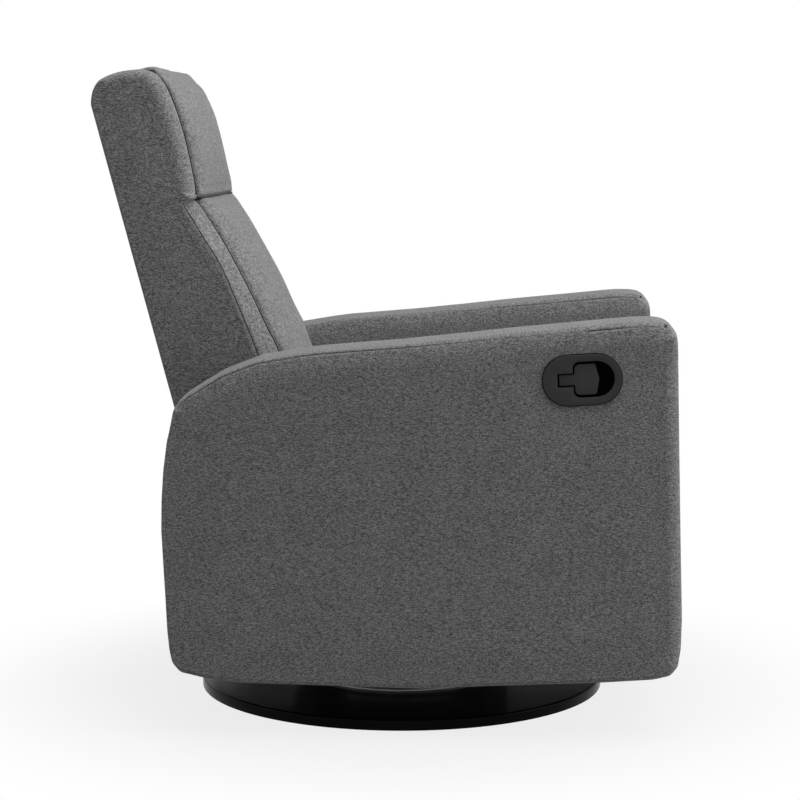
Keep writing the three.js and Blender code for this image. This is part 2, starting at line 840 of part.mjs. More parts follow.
// Mechanism plates: each carries the recline stud and the footrest pivots of its side
const mainPivot = { x: mainPivotX, z: mainPivotZ };
const rearPivot = { x: mainPivotX - rearPivotBack, z: mainPivotZ + rearPivotRise };
const backPivot = { x: backPivotX, z: backPivotZ };
const plateFar = armInner - fitGap;
const layer = (index) => {
  const far = plateFar - index * layerPitch;
  return { near: far - plateStock, far };
};
const [plateLayer, lowLinkLayer, mainLayer, longLayer, rearLayer] = [0, 1, 2, 3, 4].map(layer);

function addMechanismPlates() {
  const railZ = mainPivotZ - linkRadius / 2;
  const heel = { x: backPivotX + 4 * linkRadius, z: railZ };
  for (const [sideName, side] of Object.entries(sides)) {
    const bar = stadium(heel, { x: mainPivotX, z: railZ }, linkRadius * plateRimShare);
    const riser = stadium(heel, backPivot, linkRadius * plateRimShare, linkRadius * plateRimShare);
    const boss = stadium(rearPivot, mainPivot, linkRadius);
    const shoulder = linkPinRadius * headShare;
    const mainPinEnd = mainLayer.near - fitGap - headStock;
    const rearPinEnd = rearLayer.near - fitGap - headStock;
    const holes = [-1, 0, 1].map((step) =>
      pin(step * windowMargin, railZ, linkPinRadius, side, plateLayer.near - cutOverrun,
        plateLayer.far + cutOverrun));
    const blank = join(
      ...[bar, riser, boss].map((shape) => sidePlate(shape, side, plateLayer.near, plateLayer.far)),
      pin(mainPivot.x, mainPivot.z, shoulder, side, mainLayer.far + fitGap, plateLayer.far),
      pin(mainPivot.x, mainPivot.z, linkPinRadius, side, mainPinEnd, plateLayer.far),
      pin(mainPivot.x, mainPivot.z, shoulder, side, mainPinEnd, mainLayer.near - fitGap),
      pin(rearPivot.x, rearPivot.z, shoulder, side, rearLayer.far + fitGap, plateLayer.far),
      pin(rearPivot.x, rearPivot.z, linkPinRadius, side, rearPinEnd, plateLayer.far),
      pin(rearPivot.x, rearPivot.z, shoulder, side, rearPinEnd, rearLayer.near - fitGap),
      pin(backPivot.x, backPivot.z, backPinRadius, side, bracketNear, plateLayer.far),
    );
    addPart(`${sideName}_mechanism_plate`, cut(blank, ...holes), "blackSteel");
  }
}

// Footrest links, both sides
const mainEnd = polar(mainPivot, mainLinkLength, mainLinkAngle);
const mainParallel = polar(mainEnd, parallelReach, mainLinkAngle + Math.PI);
const tailEnd = polar(mainEnd, tailLength, longLinkAngle + tailAngle);
const longEnd = polar(mainEnd, longLinkLength, longLinkAngle);
const parallelEnd = polar(longEnd, parallelReach, mainLinkAngle + Math.PI);

function addFootrestLinks() {
  const eye = linkPinRadius + pivotClearance;
  const shoulder = linkPinRadius * headShare;
  for (const [sideName, side] of Object.entries(sides)) {
    const plate = (shape, at) => sidePlate(shape, side, at.near, at.far);
    const main = join(
      plate(linkShape(mainEnd, mainPivot, linkRadius, [{ ...mainPivot, radius: eye }]), mainLayer),
      pin(mainEnd.x, mainEnd.z, linkPinRadius, side, longLayer.near - fitGap - headStock, mainLayer.far),
      pin(mainEnd.x, mainEnd.z, shoulder, side, longLayer.near - fitGap - headStock,
        longLayer.near - fitGap),
      pin(mainParallel.x, mainParallel.z, linkPinRadius, side, mainLayer.near, lowLinkLayer.far + fitGap),
    );
    addPart(`${sideName}_main_link`, main, "steel");
    const long = join(
      plate(linkShape(mainEnd, longEnd, linkRadius,
        [{ ...mainEnd, radius: eye }, { ...longEnd, radius: eye }]), longLayer),
      plate(linkShape(mainEnd, tailEnd, linkRadius,
        [{ ...mainEnd, radius: eye }, { ...tailEnd, radius: linkPinRadius + slackClearance }]), longLayer),
    );
    const longEyes = cut(long,
      pin(mainEnd.x, mainEnd.z, eye, side, longLayer.near - cutOverrun, longLayer.far + cutOverrun));
    addPart(`${sideName}_long_link`, longEyes, "steel");
    const low = linkShape(mainParallel, parallelEnd, linkRadius,
      [{ ...mainParallel, radius: eye }, { ...parallelEnd, radius: eye + pivotClearance }]);
    addPart(`${sideName}_lower_link`, plate(low, lowLinkLayer), "steel");
    const rear = join(
      plate(linkShape(tailEnd, rearPivot, linkRadius, [{ ...rearPivot, radius: eye }]), rearLayer),
      pin(tailEnd.x, tailEnd.z, linkPinRadius, side, rearLayer.near, longLayer.far),
    );
    addPart(`${sideName}_rear_link`, rear, "steel");
    const bracket = join(
      plate(stadium(longEnd, parallelEnd, linkRadius), mainLayer),
      plate(polygon([
        [longEnd.x, longEnd.z - linkRadius],
        [footBoardX - fitGap, longEnd.z - linkRadius],
        [footBoardX - fitGap, footTop],
        [parallelEnd.x, parallelEnd.z],
        [longEnd.x, longEnd.z],
      ]), mainLayer),
      block(footBoardX - fitGap - plateStock, footBoardX - fitGap,
        side > 0 ? mainLayer.far - bracketFlange : -mainLayer.far,
        side > 0 ? mainLayer.far : bracketFlange - mainLayer.far,
        longEnd.z - linkRadius, footTop),
      pin(longEnd.x, longEnd.z, linkPinRadius, side, longLayer.near - fitGap - headStock, mainLayer.far),
      pin(longEnd.x, longEnd.z, shoulder, side, longLayer.near - fitGap - headStock,
        longLayer.near - fitGap),
      pin(parallelEnd.x, parallelEnd.z, linkPinRadius, side, mainLayer.near, lowLinkLayer.far + fitGap),
    );
    addPart(`${sideName}_footrest_bracket`, bracket, "blackSteel");
  }
  const tubeAngle = Math.atan2(tailEnd.z - rearPivot.z, tailEnd.x - rearPivot.x);
  const tube = polar(rearPivot, torqueTubeReach, tubeAngle);
  const half = rearLayer.near - fitGap;
  addPart("torque_tube", cut(
    pin(tube.x, tube.z, torqueTubeRadius, 1, -half, half, pinFacets * 2),
    pin(tube.x, tube.z, torqueTubeRadius - torqueTubeWall, 1, -half - cutOverrun, half + cutOverrun,
      pinFacets * 2)), "blackSteel");
}

function addFootrestPanel() {
  const board = footBoardX + footBoardThickness;
  addPart("footrest_board", block(footBoardX, board, -footHalfWidth, footHalfWidth,
    footBottom, footTop), "wood");
  const back = board + fitGap;
  const middle = (footTop + footBottom) / 2;
  const half = (footTop - footBottom) / 2;
  const pad = softBody([1, 8, 6], (a, b, c) => {
    const crown = (1 - b ** 6) * (1 - c ** 4);
    const side = footPadThickness - footEdgeRound;
    const front = back + side + footEdgeRound * crown;
    const cornerShare = 1 - footCornerShare * Math.abs(b * c) ** 6;
    return new THREE.Vector3(
      a < 0 ? back : back + (front - back) * ((a + 1) / 2),
      b * footHalfWidth * (a > 0 ? cornerShare : 1),
      middle + c * half * (a > 0 ? cornerShare : 1),
    );
  });
  addPart("footrest_cushion", pad, "fabric");
}

// Back: a padded shell, open to the front, over a wooden frame
const bracketFar = backHalfWidth - wallPad - fitGap - headStock;
const bracketNear = bracketFar - plateStock;
const rearLineX = (z) => backRearFootX - (z - backBottom) * backSlope;
const backRearTopZ = backTop - backCornerDrop;
const backRearTopX = rearLineX(backRearTopZ);
const backCrownX = rearLineX(backTop) + crownDepth;
const headEdgeZ = backTop - headEdgeDrop;
const headEdgeX = rearLineX(headEdgeZ) + headEdgeDepth;
const notchZ = backTop - headHeight;
const notchX = rearLineX(notchZ) + notchDepth;
const lumbarEdgeZ = backBottom + lumbarEdgeRise;
const lumbarEdgeX = rearLineX(lumbarEdgeZ) + lumbarEdgeDepth;
const lumbarFootZ = backBottom + lumbarFootRise;
const lumbarFootX = rearLineX(lumbarFootZ) + lumbarFootDepth;
const stileInset = (wallPad + 2 * fitGap) * Math.hypot(1, backSlope);

const vector = (x, z) => new THREE.Vector2(x, z);
const lumbarEdge = [
  new THREE.LineCurve(vector(lumbarFootX, lumbarFootZ), vector(lumbarEdgeX, lumbarEdgeZ)),
  new THREE.QuadraticBezierCurve(
    vector(lumbarEdgeX, lumbarEdgeZ),
    vector((lumbarEdgeX + notchX) / 2 + wallPad, (lumbarEdgeZ + notchZ) / 2),
    vector(notchX, notchZ)),
];
const headEdge = [
  new THREE.QuadraticBezierCurve(
    vector(notchX, notchZ),
    vector(notchX - wallPad, (notchZ + headEdgeZ) / 2),
    vector(headEdgeX, headEdgeZ)),
  new THREE.QuadraticBezierCurve(
    vector(headEdgeX, headEdgeZ),
    vector((headEdgeX + backCrownX) / 2 + wallPad / 2, backTop - wallPad / 4),
    vector(backCrownX, backTop)),
];

function backShape() {
  const shape = new THREE.Shape();
  const footX = rearLineX(backBottom);
  shape.moveTo(footX, backBottom);
  shape.lineTo(footX + backFootDepth, backBottom);
  shape.lineTo(lumbarFootX - wallPad / 2, lumbarFootZ);
  shape.lineTo(lumbarFootX, lumbarFootZ);
  shape.curves.push(...lumbarEdge, ...headEdge);
  shape.currentPoint.set(backCrownX, backTop);
  shape.bezierCurveTo(backCrownX - wallPad * 4, backTop, backRearTopX, backTop - wallPad,
    backRearTopX, backRearTopZ);
  return shape;
}

const backPoints = outlinePoints(backShape(), 7);

function addBackCover() {
  const outer = paddedSlab(backPoints, 1, -backHalfWidth, backHalfWidth, () => backEdgeRound);
  const wall = inset(backPoints, () => wallPad);
  const inner = backHalfWidth - wallPad;
  const hollow = acrossPlate(shapeOf(wall), inner);
  const frontMouth = hollow.clone();
  frontMouth.translate(2 * wallPad, 0, -2 * wallPad);
  const tools = [hollow, frontMouth];
  for (const side of Object.values(sides)) {
    tools.push(pin(backPivot.x, backPivot.z, backPinRadius * 2, side, inner - cutOverrun,
      backHalfWidth + cutOverrun));
  }
  addPart("back_cover", cut(outer, ...tools), "fabric");
}

function addBackFrame() {
  const outer = bracketNear - fitGap;
  const low = backBottom + wallPad + fitGap;
  const high = backTop - 5 * wallPad;
  const strip = (z0, z1, depth) => polygon([
    [rearLineX(z0) + stileInset, z0],
    [rearLineX(z0) + stileInset + depth, z0],
    [rearLineX(z1) + stileInset + depth, z1],
    [rearLineX(z1) + stileInset, z1],
  ]);
  const stiles = Object.values(sides).map((side) =>
    sidePlate(strip(low, high, stileDepth), side, outer - stileWidth, outer));
  const railHigh = 2 * stileWidth;
  const middle = (low + high) / 2;
  const rails = [low, middle, high - railHigh].map((z) =>
    acrossPlate(strip(z, z + railHigh, stileWidth), outer - stileWidth / 2));
  addPart("back_frame", join(...stiles, ...rails), "wood");
}

function addBackBrackets() {
  const slotTop = { x: backPivotX, z: backPivotZ - bracketSlotDrop };
  const slotLow = { x: backPivotX, z: slotTop.z - 3 * studRadius };
  const toe = { x: slotTop.x, z: slotTop.z - studRadius };
  for (const [sideName, side] of Object.entries(sides)) {
    const top = { x: rearLineX(backPivotZ + bracketReach) + stileInset + stileDepth / 2,
      z: backPivotZ + bracketReach };
    const blank = join(
      sidePlate(stadium(toe, backPivot, bracketRadius), side, bracketNear, bracketFar),
      sidePlate(stadium(backPivot, top, bracketRadius, linkRadius), side, bracketNear, bracketFar),
    );
    addPart(`${sideName}_back_bracket`, cut(blank,
      pin(backPivot.x, backPivot.z, backPinRadius + 2 * pivotClearance, side,
        bracketNear - cutOverrun, bracketFar + cutOverrun),
      sidePlate(stadium(slotLow, slotTop, studRadius + slotPlay), side,
        bracketNear - cutOverrun, bracketFar + cutOverrun)), "blackSteel");
  }
}

// Head and lumbar cushions follow the front edge of the back's side panels
function shareAt(shares, along) {
  const place = along * (shares.length - 1);
  const low = Math.min(Math.floor(place), shares.length - 2);
  return THREE.MathUtils.lerp(shares[low], shares[low + 1], place - low);
}

// A cushion on a curved edge line: thin at its side rims, crowned across the middle.
// Its ends at the notch and at the foot lie level, where it meets its neighbour.
function edgeCushion(curves, halfWidth, rim, depth, shares, counts, levelEnds, lift) {
  const path = new THREE.CurvePath();
  path.curves.push(...curves);
  return softBody(counts, (a, b, c) => {
    const along = (c + 1) / 2;
    const point = path.getPointAt(along);
    const tangent = path.getTangentAt(along);
    const fromStart = along * counts[2];
    const fromEnd = (1 - along) * counts[2];
    const level = Math.max(levelEnds[0] * (1 - fromStart), levelEnds[1] * (1 - fromEnd), 0);
    const normal = vector(tangent.y, -tangent.x).lerp(vector(1, 0), level).normalize();
    const across = (1 - Math.abs(b) ** 4) ** 0.6;
    const full = depth * shareAt(shares, along);
    const rimDepth = rim * shareAt(shares, along);
    const reach = seamGap + (rimDepth + (full - rimDepth) * across) * ((a + 1) / 2);
    return new THREE.Vector3(point.x + normal.x * reach, b * halfWidth,
      point.y + normal.y * reach + lift);
  });
}

function addBackCushions() {
  const half = backHalfWidth - backEdgeRound / 2;
  addPart("head_cushion", edgeCushion(headEdge, half, headSide, headDepth, headDepthShares,
    [1, 8, 16], [1, 0], fitGap), "fabric");
  addPart("lumbar_cushion", edgeCushion(lumbarEdge, half, lumbarSide, lumbarDepth,
    lumbarDepthShares, [1, 10, 10], [1, 1], -fitGap), "fabric");
}

// Seat: rails on studs in inclined tracks, springs, box cushion
function addSeatFrame() {
  const top = seatRailBottom + seatRailHeight;
  const inner = seatRailOuter - seatRailWidth;
  const rear = seatRearX - plateStock;
  const pieces = [
    block(rear, rear + seatFrontRail, -inner - plateStock, inner + plateStock, seatRailBottom, top),
    block(seatFrameFront - seatFrontRail, seatFrameFront, -seatRailOuter, seatRailOuter,
      seatRailBottom, top),
  ];
  const pinPoint = { x: backPivotX, z: backPivotZ - bracketSlotDrop };
  const knee = { x: rear + seatFrontRail, z: pinPoint.z + studRadius };
  for (const side of Object.values(sides)) {
    const near = side > 0 ? inner : -seatRailOuter;
    pieces.push(block(rear, seatFrameFront - plateStock, near, near + seatRailWidth,
      seatRailBottom, top));
    for (const x of [rearStudX, frontStudX]) {
      pieces.push(pin(x, trackLine(x), studRadius, side, inner, trackFar + 2 * fitGap));
      pieces.push(pin(x, trackLine(x), studRadius * 2, side, trackFar + fitGap,
        trackFar + fitGap + headStock));
    }
    pieces.push(sidePlate(stadium(pinPoint, knee, lugRadius), side,
      seatRailOuter - plateStock, seatRailOuter));
    pieces.push(sidePlate(rectangle(knee.x - linkRadius, knee.x + linkRadius, knee.z,
      seatRailBottom + linkRadius), side, seatRailOuter - plateStock, seatRailOuter));
    pieces.push(pin(pinPoint.x, pinPoint.z, studRadius, side, seatRailOuter - plateStock,
      bracketFar + headStock));
  }
  addPart("seat_frame", join(...pieces), "wood");
}

const trackNear = seatRailOuter + trackGap;
const trackFar = trackNear + plateStock;
const trackLine = (x) => trackLift + Math.tan(seatSlope) * (x - rearStudX);

function addSeatTracks() {
  const half = trackHeight / 2;
  const start = rearStretcherX;
  const end = frontStretcherX + stretcherThickness;
  const feet = stretcherBottom + stretcherHeight;
  for (const [sideName, side] of Object.entries(sides)) {
    const bar = polygon([
      [start, trackLine(start) - half],
      [end, trackLine(end) - half],
      [end, trackLine(end) + half],
      [start, trackLine(start) + half],
    ]);
    const rearFoot = rectangle(start, start + stretcherThickness, feet, trackLine(start));
    const frontFoot = rectangle(end - stretcherThickness, end, feet, trackLine(end));
    const slots = [rearStudX, frontStudX].map((x) =>
      sidePlate(stadium({ x, z: trackLine(x) },
        { x: x + seatTravel, z: trackLine(x + seatTravel) }, studRadius + 2 * pivotClearance),
      side, trackNear - cutOverrun, trackFar + cutOverrun));
    const blank = join(...[bar, rearFoot, frontFoot].map((shape) =>
      sidePlate(shape, side, trackNear, trackFar)));
    addPart(`${sideName}_seat_track`, cut(blank, ...slots), "blackSteel");
  }
}

function addSeatSprings() {
  const spread = (2 * (seatRailOuter - seatRailWidth - springSwing)) / springCount;
  const from = seatRearX + seatFrontRail / 2;
  const to = seatFrameFront - seatFrontRail / 2;
  const height = seatRailBottom + seatRailHeight + springWire + fitGap;
  const steps = springWaves * springWaveSteps;
  const section = new THREE.Shape(Array.from({ length: springSides }, (unused, i) => {
    const angle = (Math.PI * 2 * i) / springSides;
    return vector(springWire * Math.cos(angle), springWire * Math.sin(angle));
  }));
  for (let number = 1; number <= springCount; number += 1) {
    const y = (number - (springCount + 1) / 2) * spread;
    const points = Array.from({ length: steps + 1 }, (unused, i) => new THREE.Vector3(
      from + ((to - from) * i) / steps,
      y + (Math.sin((i / steps) * springWaves * Math.PI * 2) * springSwing) / 2,
      height,
    ));
    const curve = new THREE.CatmullRomCurve3(points, false, "centripetal");
    const wire = new THREE.ExtrudeGeometry(section, { extrudePath: curve, steps, bevelEnabled: false });
    addPart(`seat_spring_${number}`, facingOut(wire), "steel");
  }
}

function addSeatFrontCover() {
  const top = seatBottom - pivotClearance;
  const back = seatFrameFront + fitGap;
  const middle = (frontCoverBottom + top) / 2;
  const pad = softBody([1, 8, 3], (a, b, c) => {
    const depth = (seatFrontX - back) * (1 - (c * c) / 4) * (1 - b ** 6 / 6);
    return new THREE.Vector3(back + (depth * (a + 1)) / 2, b * footHalfWidth,
      middle + (c * (top - frontCoverBottom)) / 2);
  });
  addPart("seat_front_cover", pad, "fabric");
}

function addSeatCushion() {
  const middleX = (seatRearX + seatFrontX) / 2;
  const halfX = (seatFrontX - seatRearX) / 2;
  const cushion = softBody([10, 8, 3], (a, b, c) => {
    const drawX = halfX - seatDrawIn * (1 - b * b) * (a < 0 ? 1 : 0);
    const drawY = seatHalfWidth - seatDrawIn * (1 - a * a);
    const corner = 1 - seatCornerShare * Math.abs(a * b) ** 8;
    const belly = 1 - seatBellyShare * c * c;
    const crown = c > 0 ? seatCrown * (1 - a ** 4) * (1 - b ** 4) : 0;
    return new THREE.Vector3(
      middleX + a * drawX * corner * belly,
      b * drawY * corner * belly,
      seatBottom + fitGap + seatThickness * ((c + 1) / 2) + crown,
    );
  });
  addPart("seat_cushion", cushion, "fabric");
}

addBase();
addGlideFrame();
addGlideLinks();
addCarriage();
for (const [sideName, side] of Object.entries(sides)) {
  addArm(sideName, side);
  addArmFrame(sideName, side);
}
addCable();
addLever();
addStretchers();
addMechanismPlates();
addFootrestLinks();
addFootrestPanel();
addBackCover();
addBackFrame();
addBackBrackets();
addBackCushions();
addSeatFrame();
addSeatTracks();
addSeatSprings();
addSeatFrontCover();
addSeatCushion();

export default recliner;
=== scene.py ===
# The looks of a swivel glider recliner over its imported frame: upholstery with its seams, the
# lever, the round base, the bare mechanism, the light and the camera.
# +X points to the sitter's feet, +Y to the sitter's left, +Z up. Lengths are in millimetres
# where nothing else is said, and become metres as a mesh is made.
import json
import math

import bpy
import numpy as np
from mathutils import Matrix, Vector

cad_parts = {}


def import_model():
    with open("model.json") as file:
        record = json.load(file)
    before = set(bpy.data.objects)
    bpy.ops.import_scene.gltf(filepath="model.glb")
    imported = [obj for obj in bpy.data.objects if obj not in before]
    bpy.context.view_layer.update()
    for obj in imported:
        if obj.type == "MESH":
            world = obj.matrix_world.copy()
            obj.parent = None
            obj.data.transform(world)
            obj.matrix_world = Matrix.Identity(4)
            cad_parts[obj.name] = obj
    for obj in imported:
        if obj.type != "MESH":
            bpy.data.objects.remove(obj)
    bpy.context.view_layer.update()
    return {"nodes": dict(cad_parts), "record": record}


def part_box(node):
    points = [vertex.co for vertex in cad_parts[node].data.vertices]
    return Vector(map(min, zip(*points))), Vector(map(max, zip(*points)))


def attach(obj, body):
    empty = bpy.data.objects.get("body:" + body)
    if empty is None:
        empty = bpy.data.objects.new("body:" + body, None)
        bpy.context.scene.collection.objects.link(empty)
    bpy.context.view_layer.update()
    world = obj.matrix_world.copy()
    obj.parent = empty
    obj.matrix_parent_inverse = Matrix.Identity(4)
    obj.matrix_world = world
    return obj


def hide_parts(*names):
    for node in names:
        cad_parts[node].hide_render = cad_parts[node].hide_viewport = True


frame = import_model()
nodes = frame["nodes"]

mm = 0.001

# Camera, fitted to the photograph
camera_place = Vector((162, -3548, 871)) * mm
camera_yaw = math.radians(2.66)
camera_pitch = math.radians(6.59)
camera_lens = 100
camera_sensor = 36

# Seams
seam_depth = 1.5
seam_width = 1.1
seam_swell = 0.35
seam_beside_arc = 1.5
deep_seam_width = 2.7
pucker_height = 0.3
pucker_reach = 9
corner_reach = 24
edge_distances = [0, 0.8, 1.8, 3.2, 5.2, 8, 12]

# Arms
arm_round = 8
arm_top_round_rear = 9
arm_top_round_front = 15
arm_top_drop = 6.5
arm_top_drop_width = 27
arm_front_round = 22
arm_rear_round = 5
arm_outer_crown = 2.2
arm_inner_crown = 0.8
arm_band_crown = 2.5
arm_outline_points = 960
arm_outline_blur = 3
arm_spine_inset = 190
arm_spine_heights = (300, 330)
arm_front_zone = (40, 20)
arm_rear_zone = (15, 50)
arm_bottom_zone = (20, 50)
arm_top_zone = (75, 8)
arm_top_slope = (0.1, 0.6)
arm_top_round_run = (-150, 330)
arm_foot_share = 0.7
arm_outer_seam = [(-330, 0.4), (-260, 1.2), (-20, 1.2), (60, 0.55), (200, 0.1), (276, 0.15), (288, 1.8),
                  (333, 1.6), (344, 0.2), (386, 0.4), (400, 0)]
arm_inner_seam = [(-330, 0.1), (60, 0.2), (180, 0.8), (330, 1.0), (386, 0.8), (400, 0)]
arm_blind_seam = 0.05
arm_side = [(-309, 98), (-276, 90), (-221, 83), (44, 77), (143, 82), (309, 89), (381, 94), (408, 99),
            (420, 112), (424, 136), (425, 180), (422, 273), (418, 414), (414, 567), (413, 585),
            (411, 598), (407.5, 606.5), (401.5, 613.5), (393, 618), (380, 620), (360, 620), (340, 618.7),
            (262, 611), (179, 603), (99, 594), (12, 585), (-106, 575), (-135, 571), (-194, 561),
            (-246, 541), (-276, 523), (-298, 509), (-309, 500), (-315, 490), (-319, 470), (-325, 443),
            (-331, 398), (-334, 355), (-335, 310), (-333, 266), (-330, 207), (-328, 161), (-325, 131),
            (-321, 112)]
dimple_depth = 5
dimple_radius = 3
# A near-black tube in each arm dimple, painted shadow: its radius, its depth and its run
dimple_shadow_radius = 1.3
dimple_shadow_depth = 3.4
dimple_shadow_run = (-2.4, 1.6)
dimple_side_reach = 14
dimple_place = (394.5, 610)
inner_dimple_place = (396, 609.5)

# Lever, in the right arm's outer side
lever_tilt = math.radians(3.5)
lever_opening_drop = -0.3
lip_height_share = 0.925
lip_end_inset = 1.2
lip_rim = 0.8
lip_depth = 9
cup_depth = 20
cup_wall = 1.2
opening_end = 20.5
opening_radius = 26.1
opening_rear = -13.2
opening_corner = 10
stem_slot_rear = -35.6
stem_slot_half = 9.9
paddle_rear = -33.3
paddle_stem_half = 7.8
paddle_shoulder = -11
paddle_half = 22.3
paddle_front = 20
paddle_tip = 24.6
paddle_corner = 7.5
paddle_front_corner = 2.5
paddle_rim = 0.7
lever_hole_margin = 2.5
lip_proud = 4
# A near-black ring round the lip, painted shadow of the gap between lip and fabric: its width and how far it
# stands out
gap_shadow_width = 1.4
gap_shadow_proud = 0.9
pressed_zone = (42, 80)
pressed_stretch = 1.5
hole_reach = (-20, 60)
lever_sharp = math.radians(50)

# Back
back_round = 5
back_border_depth = 25
back_border_fullness = 0.5
back_lumbar_round = 10
back_groove = 6
back_lumbar_groove = 3.5
back_crown_low = 385
back_crown_full = 470
back_panel_crown = 1.6
back_rear_crown = 6
back_half_width = 239
back_bottom = 330
back_top = 979
back_slope = math.tan(math.radians(14.8))
back_foot_depth = 84
back_corner = (-453, 928)
back_spine = [(-262, 400), (-385, 900)]
back_outline_points = 900
back_outline_blur = 2
back_top_border = (0.6, 900)
back_front_slope = (0.05, 0.5)
back_top_slope = (0.7, 0.98)
notch_height = 790
head_seam_line = [(-301, 789), (-303.5, 813), (-311.5, 854), (-319, 886), (-328.5, 917), (-341, 949),
                  (-350.5, 965), (-359.5, 975), (-379, 981)]
lumbar_edge_line = [(-182, 487), (-204, 561), (-215, 590), (-229.5, 626), (-251.5, 678), (-266, 706),
                    (-280, 727), (-293.5, 750), (-308, 773), (-313, 783)]

# Head and lumbar pads: their seams, lengths, and how far their faces stand in front of the seams
head_half_width = 189
head_pad_line = [(-299.5, 788), (-303, 813), (-311, 854), (-318.5, 886), (-328, 917), (-340, 949),
                 (-349.5, 965), (-359, 975), (-371, 982), (-405, 973)]
head_length = 262
head_thickness = 20
head_buried = 26
head_rise = 9
head_swell = 4
head_top_flat = 0.42
head_top_shares = (0.5, 0.78)
head_foot_facing = (0.97, 0.25)
lumbar_length = 350
lumbar_border_half = 236.5
lumbar_border = 54
lumbar_half_width = 190
lumbar_seam_line = [(-152.5, 484), (-179, 562.5), (-191, 586), (-202, 609), (-213, 633), (-225, 657.5),
                    (-237.5, 681.5), (-250.5, 706), (-264, 730), (-279, 754), (-290.5, 772.5),
                    (-299.5, 783.5), (-307.5, 788.5)]
lumbar_buried = 8
lumbar_rise = 10
lumbar_swell = 9
border_start = 0.25
border_bend = 1.15
rise_width = 30
# Painted seam shadow: the dark tubes sunk into the back's seams, with their radii, depths, end swell and
# points
seam_shadow_radius = 1.5
thin_seam_shadow_radius = 0.5
seam_shadow_depth = 2.4
thin_seam_shadow_depth = 3.1
seam_shadow_end_swell = 0.9
seam_shadow_points = 90
head_seam_shadow_share = 0.86
foot_seam_proud = 7.6
end_round = 5
pad_waves = [19, 28, 45]
pad_dents = 120
pad_dent = 0.6
pad_pressure = 4
pad_lattice = 9

# Boxed cushions
box_waves = [21, 33, 52]
box_dents = 130
box_dent = 0.5
box_fullness = (3.4, 0.7)

# Rear panel's top edge
wrap_gap = 0.4
wrap_lap = 3
wrap_dents = 90
wrap_dent = 0.25

# Base disc
disc_edge = 3.0
disc_foot = 1.2
disc_inner_share = 0.6
disc_points = 192
disc_sharp = math.radians(60)

# Broken edges of the frame's own nodes
weld_reach = 0.01
wood_edge = 0.9
other_edge = 0.5
edge_sharp = math.radians(40)

# Cloth that swells under pressure
cloth_values = {"vertex_group_mass": "held", "quality": 6, "use_pressure": True, "tension_stiffness": 12,
                "compression_stiffness": 12, "bending_stiffness": 0.6}
cloth_frames = 20

# Finishes, as linear colours
fabric_dark = (0.055, 0.055, 0.056)
fabric_light = (0.27, 0.27, 0.272)
disc_black = (0.0015, 0.0015, 0.0015)
plastic_grey = (0.024, 0.024, 0.024)
# The paddle is the lever's own plastic, painted lighter to make up for the shade it sits in
paddle_lightened_grey = (0.03, 0.03, 0.03)
# Near-black of the tubes in the seams and the arm dimples: painted shadow
seam_shadow_black = (0.006, 0.006, 0.006)
# Near-black of the lever's cup and of the ring round its lip: painted shade, darker than the lever's own
# plastic
recess_shade_black = (0.003, 0.003, 0.003)
zinc_grey = (0.42, 0.42, 0.43)
frame_black = (0.02, 0.02, 0.022)
plywood_light = (0.56, 0.4, 0.23)
plywood_dark = (0.36, 0.23, 0.11)
rubber_black = (0.012, 0.012, 0.012)
white = (1, 1, 1, 1)

# Stage: the floor's grey and its fade to white, the world's light, and the lamps' places, targets,
# sizes and powers, in metres and watts
floor_grey = (0.42, 0.42, 0.42, 1)
floor_glow = 0.82
floor_fade = (0.35, 0.85)
floor_reach = 20
world_light = 0.115
lamps = {
    "key": ((0.5, -0.4, 3.2), (0, 0, 0.4), (3.2, 2.6), 93),
    "front": ((3.2, -0.9, 1.5), (0, 0, 0.6), (2.0, 2.0), 60),
    "fill": ((-0.5, -4.5, 1.6), (0, 0, 0.4), (3.0, 2.0), 3),
    "rear": ((-3.2, -1.2, 1.2), (0, 0, 0.5), (2.0, 2.0), 15),
}


# Small mathematics
def smoothstep(values, low, high):
    share = np.clip((values - low) / (high - low), 0, 1)
    return share * share * (3 - 2 * share)


def bell(distance, width):
    return np.exp(-(distance / width) ** 2)


def unit(vectors):
    return vectors / np.linalg.norm(vectors, axis=1)[:, None]


def distances_along(points):
    """How far each point of a line lies from its start, along it."""
    return np.concatenate([[0], np.cumsum(np.linalg.norm(np.diff(points, axis=0), axis=1))])


def at_distances(wanted, length, points):
    """Places at wanted distances along a line whose points lie at known ones."""
    return np.stack([np.interp(wanted, length, column) for column in points.T], axis=-1)


def in_space(flat, level):
    """Points in X and Z, brought to places along Y."""
    return np.column_stack([flat[:, 0], level + np.zeros(len(flat)), flat[:, 1]])


def curve_through(points, shares):
    """Points on a smooth open curve through the given ones, at shares of its length."""
    given = np.array(points, float)
    ends = np.vstack([2 * given[0] - given[1], given, 2 * given[-1] - given[-2]])
    t = np.linspace(0, 1, 24, endpoint=False)[:, None]
    spans = [0.5 * (2 * start + (stop - before) * t + (2 * before - 5 * start + 4 * stop - after) * t ** 2
                    + (3 * start - before - 3 * stop + after) * t ** 3)
             for before, start, stop, after in zip(ends, ends[1:], ends[2:], ends[3:])]
    dense = np.vstack([*spans, given[-1:]])
    length = distances_along(dense)
    return at_distances(np.asarray(shares) * length[-1], length, dense)


def bezier(points, count):
    t = np.linspace(0, 1, count, endpoint=False)[:, None]
    given = [np.array(point, float) for point in points]
    while len(given) > 1:
        given = [(1 - t) * first + t * second for first, second in zip(given, given[1:])]
    return given[0]


